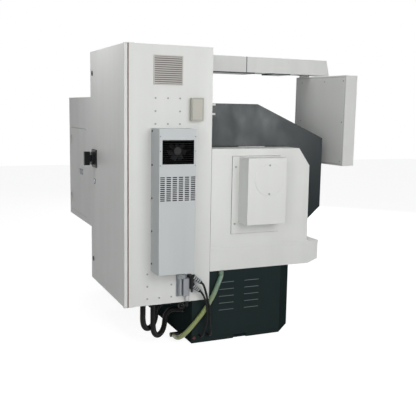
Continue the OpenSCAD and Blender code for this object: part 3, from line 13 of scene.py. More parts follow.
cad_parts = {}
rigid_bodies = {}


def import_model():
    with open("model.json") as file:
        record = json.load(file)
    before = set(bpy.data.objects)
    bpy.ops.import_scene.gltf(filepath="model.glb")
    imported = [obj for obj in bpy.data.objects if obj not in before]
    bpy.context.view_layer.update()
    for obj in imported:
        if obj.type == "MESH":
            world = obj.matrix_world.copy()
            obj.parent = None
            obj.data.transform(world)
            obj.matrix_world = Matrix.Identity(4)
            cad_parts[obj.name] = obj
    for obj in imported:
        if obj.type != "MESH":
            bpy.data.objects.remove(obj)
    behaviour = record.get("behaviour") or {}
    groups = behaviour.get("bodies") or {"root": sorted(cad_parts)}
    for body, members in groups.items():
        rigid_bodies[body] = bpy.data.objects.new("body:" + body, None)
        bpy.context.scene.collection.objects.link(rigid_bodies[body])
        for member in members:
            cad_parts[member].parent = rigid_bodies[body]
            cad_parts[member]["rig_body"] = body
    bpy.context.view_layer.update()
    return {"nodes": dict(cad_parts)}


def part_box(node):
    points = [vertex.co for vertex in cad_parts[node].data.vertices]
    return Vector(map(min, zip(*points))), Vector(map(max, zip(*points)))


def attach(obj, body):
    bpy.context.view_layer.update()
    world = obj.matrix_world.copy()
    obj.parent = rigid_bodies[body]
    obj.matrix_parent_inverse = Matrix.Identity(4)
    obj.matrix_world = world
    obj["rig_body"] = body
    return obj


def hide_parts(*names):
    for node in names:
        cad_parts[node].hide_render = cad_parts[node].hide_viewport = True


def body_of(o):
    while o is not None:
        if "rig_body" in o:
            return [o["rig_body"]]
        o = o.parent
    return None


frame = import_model()

LOG = logging.getLogger("lathe")
MM = 0.001
Colour = tuple[float, float, float]
Point = tuple[float, float, float]
Pair = tuple[float, float]
Rect = tuple[Pair, Pair]
Points = Sequence[Sequence[float]]
Grid = np.ndarray
Socket = bpy.types.NodeSocket
Mesh = bpy.types.Mesh
Piece = bpy.types.Object

# The pendant's turn in degrees about an upright axis, whose place is in millimetres
PENDANT_PIVOT: Pair = (0.0, -773.0)
PENDANT_TURN = 6.0
# Angles in degrees: between faces that count as one, over a shaded edge, and over a rounded one
FLAT, SHARP_FROM, ROUNDED_FROM = 0.6, 35.0, 32.0
# Points nearer than this, in metres, are one
SAME_POINT = 2e-5
# Samples of each stretch of a smooth path
PATH_STEPS = 24


# ---- Node graphs and finishes ----


class Nodes:
    """A node tree, with short calls to add and join nodes."""

    def __init__(self, tree: bpy.types.NodeTree) -> None:
        """Takes a tree and empties it."""
        self.tree = tree
        tree.nodes.clear()

    def add(self, kind: str, **sockets: object) -> bpy.types.Node:
        """Adds a node of Blender's type kind, and feeds its inputs by name."""
        node = self.tree.nodes.new(kind)
        self.fill(node, **sockets)
        return node

    def fill(self, node: bpy.types.Node, **sockets: object) -> None:
        """Feeds a node's inputs by name, with _ for a space, with values or with other nodes' outputs."""
        for key, value in sockets.items():
            self.feed(node.inputs[key.replace("_", " ")], value)

    def feed(self, socket: Socket, value: object) -> None:
        """Links value to the socket where it is an output, and otherwise sets it."""
        if isinstance(value, Socket):
            self.tree.links.new(value, socket)
        elif isinstance(value, tuple) and len(value) == 3 and socket.type == "RGBA":
            socket.default_value = (*value, 1.0)
        else:
            socket.default_value = value

    def combine(self, kind: str, *sources: Socket, operation: str = "") -> Socket:
        """Adds a node whose inputs are the sources in their order, and gives its first output."""
        node = self.add(kind)
        if operation:
            node.operation = operation
        for source, socket in zip(sources, node.inputs):
            self.feed(socket, source)
        return node.outputs[0]


class Graph(Nodes):
    """A material's node tree."""

    def __init__(self, name: str) -> None:
        """Starts an empty material called name, with its output and principled shader."""
        self.material = bpy.data.materials.new(name)
        self.material.use_nodes = True
        super().__init__(self.material.node_tree)
        self.out = self.add("ShaderNodeOutputMaterial")
        self.shader = self.add("ShaderNodeBsdfPrincipled")
        self.feed(self.out.inputs["Surface"], self.shader.outputs["BSDF"])
        self.coords = self.add("ShaderNodeTexCoord")

    def surface(self, **sockets: object) -> None:
        """Feeds the inputs of the principled shader by name."""
        self.fill(self.shader, **sockets)

    def noise(self, scale: float, detail: float = 2.0, along: Point | None = None) -> Socket:
        """A noise value from 0 to 1 over the object's own coordinates.

        Args:
            scale: bumps per metre.
            detail: octaves.
            along: a factor for the scale along each axis.

        Returns:
            The factor output.
        """
        at = self.coords.outputs["Object"]
        if along is not None:
            at = self.add("ShaderNodeMapping", Vector=at, Scale=Vector(along)).outputs["Vector"]
        return self.add("ShaderNodeTexNoise", Vector=at, Scale=scale, Detail=detail).outputs["Fac"]

    def span(self, value: Socket, low: float, high: float, start: float = 0.3, end: float = 0.7) -> Socket:
        """Carries a value from the range start..end to low..high, and holds it there."""
        return self.add("ShaderNodeMapRange", Value=value, From_Min=start, From_Max=end, To_Min=low,
                        To_Max=high).outputs["Result"]

    def blend(self, factor: Socket, a: object, b: object) -> Socket:
        """Mixes two colours by a factor: a where it is 0, and b where it is 1."""
        node = self.tree.nodes.new("ShaderNodeMix")
        node.data_type = "RGBA"
        for index, value in ((0, factor), (6, a), (7, b)):
            self.feed(node.inputs[index], value)
        return node.outputs[2]

    def clouds(self, noise: Socket, a: object, b: object) -> Socket:
        """Two colours in clouds: a where the noise is low, and b where it is high."""
        return self.blend(self.span(noise, 0.0, 1.0), a, b)

    def bump(self, height: Socket, depth: float, under: Socket | None = None) -> Socket:
        """A bump from a height of 0 to 1, depth metres deep, laid on the normal under it if there is one."""
        node = self.add("ShaderNodeBump", Height=height, Distance=depth, Strength=1.0)
        if under is not None:
            self.feed(node.inputs["Normal"], under)
        return node.outputs["Normal"]

    def worn_edges(self, radius: float) -> Socket:
        """A mask that rises to 1 along sharp edges, where a rounded normal turns away from the true one."""
        rounded = self.add("ShaderNodeBevel", Radius=radius)
        rounded.samples = 4
        geometry = self.add("ShaderNodeNewGeometry")
        dot = self.add("ShaderNodeVectorMath")
        dot.operation = "DOT_PRODUCT"
        self.feed(dot.inputs[0], rounded.outputs["Normal"])
        self.feed(dot.inputs[1], geometry.outputs["Normal"])
        return self.span(dot.outputs["Value"], 1.0, 0.0, 0.72, 0.97)


def shade(colour: Colour, factor: float) -> Colour:
    """The colour made lighter or darker by a factor."""
    return tuple(min(1.0, channel * factor) for channel in colour)


def srgb(code: str) -> Colour:
    """The linear colour of a hexadecimal sRGB code."""
    raw = [int(code[i:i + 2], 16) / 255 for i in (1, 3, 5)]
    return tuple(c / 12.92 if c <= 0.04045 else ((c + 0.055) / 1.055) ** 2.4 for c in raw)


@dataclass(frozen=True)
class Finish:
    """A surface finish. Its subclasses say how it is painted, cast, moulded or ground."""

    name: str
    colour: Colour

    def paint(self, graph: Graph) -> None:
        """Sets up the shader of the finish."""
        raise NotImplementedError

    def material(self) -> bpy.types.Material:
        """The finish's material, made once."""
        label = self.name + "_finish"
        found = bpy.data.materials.get(label)
        if found is None:
            graph = Graph(label)
            self.paint(graph)
            found = graph.material
        return found


@dataclass(frozen=True)
class SheetPaint(Finish):
    """Powder-coated sheet metal: orange peel, slow changes of tone, darker vertical streaks painted in as
    reflection bands, and edges rubbed paler.
    """

    rough: float = 0.42
    sheen: float = 0.4
    mottle: float = 0.03
    peel: float = 0.00004
    edge: float = 1.12
    edge_radius: float = 0.0035
    streak: float = 0.05
    streak_run: float = 0.06
    run: float = 0.25

    def paint(self, graph: Graph) -> None:
        """Sets the tone, the roughness and the orange peel."""
        tone = graph.clouds(graph.noise(scale=1.7, detail=3.0), shade(self.colour, 1 - self.mottle),
                            shade(self.colour, 1 + self.mottle))
        # Painted reflection: vertical streaks, darker by streak, stand in for the reflection bands of
        # semi-gloss paint.
        reflection_streaks = graph.noise(scale=7.0, detail=3.0, along=(1.0, 1.0, self.streak_run))
        tone = graph.clouds(reflection_streaks, tone, shade(self.colour, 1 - self.streak))
        smear = graph.noise(scale=6.0, detail=6.0, along=(1.0, 1.0, self.run))
        worn = graph.worn_edges(self.edge_radius)
        graph.surface(Base_Color=graph.blend(worn, tone, shade(self.colour, self.edge)),
                      Roughness=graph.span(smear, self.rough - 0.05, self.rough + 0.06),
                      Specular_IOR_Level=self.sheen,
                      Normal=graph.bump(graph.noise(scale=420.0, detail=1.0), self.peel))


@dataclass(frozen=True)
class CastPaint(Finish):
    """Thick paint on a casting: a pebbled skin."""

    rough: float = 0.5
    coarse: float = 0.0006
    fine: float = 0.00012

    def paint(self, graph: Graph) -> None:
        """Sets a mottled tone over two sizes of pebble."""
        mottle = graph.noise(scale=9.0, detail=4.0)
        pebbles = graph.bump(graph.noise(scale=60.0, detail=3.0), self.coarse)
        graph.surface(Base_Color=graph.clouds(mottle, shade(self.colour, 0.9), shade(self.colour, 1.07)),
                      Roughness=graph.span(graph.noise(scale=30.0), self.rough - 0.07, self.rough + 0.08),
                      Normal=graph.bump(graph.noise(scale=400.0), self.fine, under=pebbles))


class Lay(Enum):
    """The way that tool marks run on a metal surface: marks per metre along each axis."""

    ROUND = (400.0, 12.0, 12.0)
    LONG = (6.0, 260.0, 260.0)
    BLASTED = (300.0, 300.0, 300.0)


@dataclass(frozen=True)
class BareMetal(Finish):
    """Turned, ground or blasted metal, with the tool marks that its lay gives."""

    rough: float = 0.3
    lay: Lay = Lay.LONG
    mark: float = 0.00002

    def paint(self, graph: Graph) -> None:
        """Sets the metal, its streaks and its fine marks."""
        streak = graph.noise(scale=1.0, along=self.lay.value)
        cloud = graph.noise(scale=7.0, detail=3.0)
        graph.surface(Metallic=1.0, Base_Color=graph.clouds(cloud, shade(self.colour, 0.86), self.colour),
                      Roughness=graph.span(streak, self.rough - 0.08, self.rough + 0.12),
                      Normal=graph.bump(streak, self.mark))


@dataclass(frozen=True)
class Moulding(Finish):
    """Moulded plastic or rubber: a fine grain, and a little dust that greys it."""

    rough: float = 0.5
    grain: float = 0.00003
    dust: float = 0.06
    sheen: float = 0.4

    def paint(self, graph: Graph) -> None:
        """Sets the dusted tone, the roughness and the grain."""
        dusty = tuple(channel + (0.5 - channel) * self.dust for channel in self.colour)
        worn = graph.noise(scale=50.0, detail=3.0)
        graph.surface(Base_Color=graph.clouds(graph.noise(scale=22.0, detail=4.0), self.colour, dusty),
                      Roughness=graph.span(worn, self.rough - 0.06, self.rough + 0.08),
                      Specular_IOR_Level=self.sheen,
                      Normal=graph.bump(graph.noise(scale=900.0, detail=1.0), self.grain))


@dataclass(frozen=True)
class ClearHose(Finish):
    """Milky plasticised hose: light passes into its wall, and a yarn braid shows under its skin.

    Coolant stains it below front, a height where it begins and one where it is full, in metres.
    """

    tint: Colour = (0.2, 0.3, 0.1)
    front: Pair = (0.42, 0.24)
    ragged: float = 0.03
    yarn_depth: float = 0.0001

    def paint(self, graph: Graph) -> None:
        """Sets the braid from the tube's own map, over a wall that light enters."""
        braid = graph.add("ShaderNodeTexWave", Vector=graph.coords.outputs["UV"], Scale=1.0, Distortion=0.0)
        braid.bands_direction = "DIAGONAL"
        yarn = graph.span(braid.outputs["Fac"], 0.0, 0.35, 0.75, 0.95)
        wall = graph.blend(self.stain(graph), self.tint, self.colour)
        graph.surface(Base_Color=graph.blend(yarn, wall, shade(self.colour, 1.5)), Roughness=0.22,
                      Specular_IOR_Level=0.5, Subsurface_Weight=0.35, Subsurface_Scale=0.01, Coat_Weight=0.8,
                      Coat_Roughness=0.12, Normal=graph.bump(braid.outputs["Fac"], self.yarn_depth))

    def stain(self, graph: Graph) -> Socket:
        """How far coolant has stained the wall, from 0 to 1, with a ragged front."""
        height = graph.add("ShaderNodeSeparateXYZ", Vector=graph.coords.outputs["Object"]).outputs["Z"]
        shift = graph.span(graph.noise(scale=9.0), -self.ragged, self.ragged)
        top, foot = self.front
        return graph.span(graph.combine("ShaderNodeMath", height, shift), 1.0, 0.0, foot, top)


@dataclass(frozen=True)
class Glazing(Finish):
    """Laminated safety glass, faintly tinted, with a thin film of dried coolant."""

    def paint(self, graph: Graph) -> None:
        """Sets a see-through sheet whose film thickens in slow smears."""
        smear = graph.noise(scale=4.0, detail=5.0, along=(1.0, 1.0, 0.2))
        graph.surface(Base_Color=self.colour, Transmission_Weight=0.92, IOR=1.45,
                      Roughness=graph.span(smear, 0.02, 0.16))


@dataclass(frozen=True)
class DarkScreen(Finish):
    """A switched-off display behind its cover sheet."""

    def paint(self, graph: Graph) -> None:
        """Sets a near-black gloss with a few wiped smears."""
        smear = graph.noise(scale=9.0, detail=5.0, along=(1.0, 1.0, 0.5))
        graph.surface(Base_Color=graph.clouds(smear, self.colour, shade(self.colour, 1.4)),
                      Roughness=graph.span(smear, 0.08, 0.2), Coat_Weight=0.5)


WHITE_PAINT = SheetPaint("white_paint", srgb("#e3e4e1"), rough=0.42, sheen=0.2)
SLATE_PAINT = SheetPaint(
    "slate_paint", srgb("#152124"), rough=0.31, sheen=0.14, mottle=0.1, edge=1.6, streak=0.06, run=0.8)
BASE_PAINT = SheetPaint("base_paint", srgb("#2a3434"), rough=0.6, sheen=0.0, mottle=0.12, edge=1.5)
EXCHANGER_PAINT = SheetPaint("exchanger_paint", srgb("#c6cacb"), rough=0.42, sheen=0.2)
CAST_PAINT = CastPaint("cast_paint", srgb("#8b9294"))
MACHINED_STEEL = BareMetal("machined_steel", (0.62, 0.63, 0.65), rough=0.28, lay=Lay.ROUND)
GROUND_STEEL = BareMetal("ground_steel", (0.6, 0.61, 0.63), rough=0.22, lay=Lay.LONG)
ZINC_PLATE = BareMetal("zinc_plate", (0.62, 0.62, 0.58), rough=0.4, lay=Lay.BLASTED)
DIE_CAST = CastPaint("die_cast", srgb("#979a9f"), rough=0.36)
SLEEVE_GREY = Moulding("sleeve_grey", srgb("#a4a8ab"), rough=0.45, dust=0.0)
ELBOW_GREEN = Moulding("elbow_green", srgb("#6b8270"), rough=0.45, dust=0.0)
BLACK_PLASTIC = Moulding("black_plastic", srgb("#141517"), rough=0.42, dust=0.01, sheen=0.2)
LINING_FOAM = Moulding("lining_foam", srgb("#101112"), rough=0.9, dust=0.0, sheen=0.0)
FILTER_MAT = Moulding("filter_mat", srgb("#7d7873"), rough=0.9, dust=0.05)
DARK_SCREW = BareMetal("dark_screw", (0.2, 0.2, 0.21), rough=0.45, lay=Lay.BLASTED)
# Painted highlight: the louvres' lips are paler than the base to stand in for their edges catching the light.
LOUVRE_HIGHLIGHT = Moulding("louvre_highlight", srgb("#4a5556"), rough=0.4, dust=0.0)
BOX_SEAM = Moulding("box_seam", srgb("#7d7a72"), rough=0.6, dust=0.0)
LOCK_BLUE = Moulding("lock_blue", srgb("#4a5268"), rough=0.4, dust=0.0)
# Painted highlight: the near-white face of the keyed lock stands in for a glint on its metal.
LOCK_HIGHLIGHT = Moulding("lock_highlight", srgb("#e8ebf4"), rough=0.3, dust=0.0)
LATCH_GREY = Moulding("latch_grey", srgb("#8b959c"), rough=0.4, dust=0.0)
BOLT_GREY = Moulding("bolt_grey", srgb("#a3a5a5"), rough=0.45, dust=0.0)
GREY_PLASTIC = Moulding("grey_plastic", srgb("#c6c3bf"), rough=0.5)
BEIGE_PLASTIC = Moulding("beige_plastic", srgb("#b8b6ac"), rough=0.5, dust=0.02)
# Dark grey of real seams, and also the painted shadow line round the actuator cover's flange.
SEAM_AND_SHADOW_GREY = Moulding("seam_and_shadow_grey", srgb("#565a5c"), rough=0.6)
BLACK_RUBBER = Moulding("black_rubber", srgb("#0f0f10"), rough=0.5, dust=0.02, sheen=0.15)
CONDUIT_PLASTIC = Moulding("conduit_plastic", srgb("#0c0c0d"), rough=0.4, dust=0.01, sheen=0.15)
WHITE_PLASTIC = Moulding("white_plastic", srgb("#c9cacb"), rough=0.45)
RUST_CAP = Moulding("rust_cap", srgb("#4a1613"), rough=0.5)
GASKET_RUBBER = Moulding("gasket_rubber", srgb("#5d332b"), rough=0.65)
RED_PLASTIC = Moulding("red_plastic", srgb("#b3231b"), rough=0.35, dust=0.02)
GREEN_PLASTIC = Moulding("green_plastic", srgb("#2f8f4e"), rough=0.35, dust=0.02)
YELLOW_PLASTIC = Moulding("yellow_plastic", srgb("#d2a51f"), rough=0.35, dust=0.02)
KEYPAD_FILM = Moulding("keypad_film", srgb("#3c4246"), rough=0.4, dust=0.03)
KEY_GREY = Moulding("key_grey", srgb("#a9adae"), rough=0.45, dust=0.0)
KEY_DARK = Moulding("key_dark", srgb("#71797e"), rough=0.45, dust=0.0)
HOSE_PVC = ClearHose("hose_pvc", srgb("#7f8c46"), srgb("#5f8070"))
WINDOW_GLASS = Glazing("window_glass", (0.82, 0.88, 0.88))
SCREEN_GLASS = DarkScreen("screen_glass", (0.012, 0.016, 0.02))


# ---- Shapes ----


def piece_of(mesh: Mesh, finish: Finish, body: str = "machine",
             stands_for: Sequence[str] = ()) -> Piece:
    """Puts a mesh into the scene as a finished piece with the mesh's name.

    Args:
        mesh: the piece's mesh, already in place.
        finish: its finish.
        body: the body it rides on.
        stands_for: the CAD nodes that it replaces.

    Returns:
        The new object.
    """
    piece = bpy.data.objects.new(mesh.name, mesh)
    bpy.context.scene.collection.objects.link(piece)
    if not mesh.materials:
        mesh.materials.append(finish.material())
    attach(piece, body)
    if stands_for:
        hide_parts(*stands_for)
    LOG.info("made %s on %s", piece.name, body)
    return piece


def grid_mesh(name: str, grids: Sequence[Grid], maps: Sequence[Grid] | None = None) -> Mesh:
    """Makes a mesh from grids of points, each a closed tube of shape (rows, columns, 3).

    Neighbouring points are joined by quads, each row is a ring, and the first and last get a cap.

    Args:
        name: the mesh's name.
        grids: the tubes.
        maps: texture coordinates for each grid, of shape (rows, columns, 2).

    Returns:
        The mesh, smooth shaded with sharp creases.
    """
    points, faces, offset = [], [], 0
    for grid in grids:
        rows, columns = grid.shape[:2]
        index = np.arange(rows * columns).reshape(rows, columns) + offset
        a = np.hstack([index, index[:, :1]])
        quads = np.stack([a[:-1, :-1], a[:-1, 1:], a[1:, 1:], a[1:, :-1]], axis=-1).reshape(-1, 4)
        faces += quads.tolist() + [index[0, ::-1].tolist(), index[-1].tolist()]
        points.append(grid.reshape(-1, 3))
        offset += rows * columns
    mesh = bpy.data.meshes.new(name)
    mesh.from_pydata(np.vstack(points).tolist(), [], faces)
    if maps is not None:
        flat = np.vstack([m.reshape(-1, 2) for m in maps])
        corner = np.zeros(len(mesh.loops), np.int32)
        mesh.loops.foreach_get("vertex_index", corner)
        layer = mesh.uv_layers.new(name="UVMap")
        layer.data.foreach_set("uv", flat[corner].ravel())
    finish_mesh(mesh)
    return mesh


def finish_mesh(mesh: Mesh) -> None:
    """Turns the faces outwards and shades them smooth, with the sharp edges kept."""
    work = bmesh.new()
    work.from_mesh(mesh)
    bmesh.ops.recalc_face_normals(work, faces=work.faces)
    work.to_mesh(mesh)
    work.free()
    mesh.shade_smooth()
    mesh.set_sharp_from_angle(angle=math.radians(SHARP_FROM))
    mesh.update()


def revolve(profile: Points, base: Sequence[float], axis: Sequence[float], sides: int) -> Grid:
    """A surface of revolution: each profile point (height, radius) is carried round the axis.

    Point = base + height * axis + radius * (cos t * u + sin t * v), with u and v square to the axis.

    Args:
        profile: heights and radii in metres.
        base: where height 0 is.
        axis: the direction of the height.
        sides: points round the axis.

    Returns:
        A grid of shape (profile points, sides, 3).
    """
    shape = np.asarray(profile, float)
    w = np.asarray(Vector(axis).normalized())
    u = np.cross(w, [0.0, 0.0, 1.0] if abs(w[2]) < 0.9 else [0.0, 1.0, 0.0])
    u /= np.linalg.norm(u)
    v = np.cross(w, u)
    t = np.linspace(0, 2 * math.pi, sides, endpoint=False)
    ring = np.cos(t)[:, None] * u + np.sin(t)[:, None] * v
    return np.asarray(base) + shape[:, 0, None, None] * w + shape[:, 1, None, None] * ring


def smooth_path(points: Points, step: float) -> Grid:
    """A smooth line through the points, evenly spaced.

    Each stretch is a cubic whose ends have the direction of the chord over the points on either
    side (Catmull-Rom), and the line is then resampled by its length.

    Args:
        points: the points in metres.
        step: the spacing wanted.

    Returns:
        An array of shape (n, 3).
    """
    p = np.asarray(points, float)
    ends = np.vstack([2 * p[0] - p[1], p, 2 * p[-1] - p[-2]])
    t = np.linspace(0, 1, PATH_STEPS, endpoint=False)[:, None, None]
    a, b, c, d = ends[:-3], ends[1:-2], ends[2:-1], ends[3:]
    square, cube = 2 * a - 5 * b + 4 * c - d, 3 * b - a - 3 * c + d
    curve = 0.5 * ((2 * b) + (c - a) * t + square * t**2 + cube * t**3)
    dense = np.vstack([curve.transpose(1, 0, 2).reshape(-1, 3), p[-1:]])
    length = np.concatenate([[0], np.cumsum(np.linalg.norm(np.diff(dense, axis=0), axis=1))])
    even = np.linspace(0, length[-1], max(8, int(round(length[-1] / step)) + 1))
    return np.stack([np.interp(even, length, dense[:, k]) for k in range(3)], axis=1)


def tube(path: Grid, radius: Grid | float, sides: int) -> Grid:
    """A round tube along a path.

    Each ring stands square to the path, and its frame is carried from the one before by the
    smallest turn: the old side direction less its share along the new heading.

    Args:
        path: the centre line, of shape (n, 3).
        radius: one radius, or one for each ring.
        sides: points round the tube.

    Returns:
        A grid of shape (n, sides, 3).
    """
    heading = np.gradient(path, axis=0)
    heading /= np.linalg.norm(heading, axis=1, keepdims=True)
    side = np.cross(heading[0], [0.31, 0.94, 0.17])
    sides_of = []
    for direction in heading:
        side = side - direction * float(side @ direction)
        side = side / np.linalg.norm(side)
        sides_of.append(side)
    u = np.array(sides_of)[:, None, :]
    v = np.cross(heading, np.array(sides_of))[:, None, :]
    t = np.linspace(0, 2 * math.pi, sides, endpoint=False)[None, :, None]
    r = np.broadcast_to(np.asarray(radius, float), (len(path),))[:, None, None]
    return path[:, None, :] + r * (np.cos(t) * u + np.sin(t) * v)


def round_edges(piece: Piece, width: float, segments: int = 2) -> None:
    """Rounds the sharp edges over width millimetres, and evens the shading of flat faces."""
    rounding = piece.modifiers.new("rounding", "BEVEL")
    rounding.width = width * MM
    rounding.segments = segments
    rounding.limit_method = "ANGLE"
    rounding.angle_limit = math.radians(ROUNDED_FROM)
    rounding.use_clamp_overlap = True
    even = piece.modifiers.new("even_normals", "WEIGHTED_NORMAL")
    even.mode = "FACE_AREA"
    even.weight = 100
    even.keep_sharp = True


def prisms(name: str, outlines: Sequence[Points], spans: Points, axis: int) -> Mesh:
    """Solids of constant section, each an outline drawn along one axis.

    Args:
        name: the mesh's name.
        outlines: for each solid its outline in the two other axes, in millimetres.
        spans: for each solid its start and end along the axis, in millimetres.
        axis: 0 for X, 1 for Y, 2 for Z.

    Returns:
        One mesh with every solid.
    """
    others = [k for k in range(3) if k != axis]
    grids = []
    for outline, span in zip(outlines, spans):
        flat = np.asarray(outline, float)
        grid = np.zeros((2, len(flat), 3))
        grid[:, :, others] = flat
        grid[:, :, axis] = np.asarray(span, float)[:, None]
        grids.append(grid * MM)
    return grid_mesh(name, grids)


def blocks(name: str, corners: Sequence[Points]) -> Mesh:
    """Cuboids in one mesh, each given by its lowest and highest corner in millimetres."""
    outlines = [((a[0], a[1]), (b[0], a[1]), (b[0], b[1]), (a[0], b[1])) for a, b in corners]
    return prisms(name, outlines, [(a[2], b[2]) for a, b in corners], 2)


def box_mm(node: str) -> Grid:
    """The lowest and the highest corner of a CAD node in millimetres."""
    return np.asarray(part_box(node)) / MM


def side_of(node: str, axes: tuple[int, int]) -> Rect:
    """The rectangle that a CAD node's box shows along two axes, in millimetres."""
    low, high = box_mm(node)
    return tuple((low[axis], high[axis]) for axis in axes)


def grown(rect: Rect, by: float) -> Rect:
    """The rectangle with each side moved outwards, or inwards where by is negative."""
    return tuple((low - by, high + by) for low, high in rect)


def trim(name: str, corners: Sequence[Points], finish: Finish, body: str = "machine",
         stands_for: Sequence[str] = ()) -> Piece:
    """Puts cuboids into the scene as one piece, named and finished as in piece_of."""
    return piece_of(blocks(name, corners), finish, body, stands_for)


def rims(outer: Rect, inner: Rect, span: Pair, axes: tuple[int, int, int]) -> list[Grid]:
    """The four cuboids of a rectangular frame.

    Args:
        outer: its outer rectangle.
        inner: the rectangle of its opening.
        span: its start and end along the third axis.
        axes: the rectangles' two axes and the third. The sides across the first run past the others.

    Returns:
        The lowest and highest corner of each cuboid.
    """
    (a0, a1), (b0, b1) = outer
    (c0, c1), (d0, d1) = inner
    corners = np.zeros((4, 2, 3))
    sides = (((a0, c0), (b0, b1)), ((c1, a1), (b0, b1)), ((c0, c1), (b0, d0)), ((c0, c1), (d1, b1)))
    for corner, (first, second) in zip(corners, sides):
        corner[:, axes] = np.stack([first, second, span], axis=-1)
    return list(corners)


@dataclass(frozen=True)
class Region:
    """A box in millimetres and the finish of the faces whose centres lie in it.

    The box may stand in a frame turned by turn degrees about the upright through pivot.
    """

    low: Point
    high: Point
    finish: Finish
    pivot: Pair = (0.0, 0.0)
    turn: float = 0.0

    def holds(self, centres: Grid) -> Grid:
        """Which of the centres, in metres, lie in the box: each is first turned back into the box's frame."""
        low, high = np.asarray(self.low) * MM, np.asarray(self.high) * MM
        t = math.radians(self.turn)
        local = centres.copy()
        local[:, :2] = (centres[:, :2] - np.asarray(self.pivot) * MM) @ np.array(
            [[math.cos(t), -math.sin(t)], [math.sin(t), math.cos(t)]])
        return np.all((local >= low) & (local <= high), axis=1)


def tint(mesh: Mesh, regions: Sequence[Region]) -> None:
    """Gives the faces in each region its finish. A later region goes over an earlier one."""
    centres = np.zeros(len(mesh.polygons) * 3)
    mesh.polygons.foreach_get("center", centres)
    index = np.zeros(len(mesh.polygons), np.int32)
    for region in regions:
        mesh.materials.append(region.finish.material())
        index[region.holds(centres.reshape(-1, 3))] = len(mesh.materials) - 1
    mesh.polygons.foreach_set("material_index", index)


def softened(node: str, finish: Finish, width: float, regions: Sequence[Region]) -> Piece:
    """A copy of a CAD node with its facets merged and its edges rounded, which stands for the node.

    Args:
        node: the CAD node.
        finish: its finish.
        width: the rounding in millimetres.
        regions: the parts of it with a finish of their own.

    Returns:
        The new object.
    """
    source = frame["nodes"][node]
    mesh = source.data.copy()
    mesh.name = node + "_form"
    work = bmesh.new()
    work.from_mesh(mesh)
    bmesh.ops.remove_doubles(work, verts=work.verts, dist=SAME_POINT)
    bmesh.ops.dissolve_limit(work, angle_limit=math.radians(FLAT), verts=work.verts, edges=work.edges)
    work.to_mesh(mesh)
    work.free()
    mesh.materials.clear()
    mesh.materials.append(finish.material())
    tint(mesh, regions)
    mesh.shade_smooth()
    mesh.set_sharp_from_angle(angle=math.radians(ROUNDED_FROM))
    piece = piece_of(mesh, finish, body_of(source)[0], [node])
    if width > 0:
        round_edges(piece, width)
    return piece


# ---- Cords ----


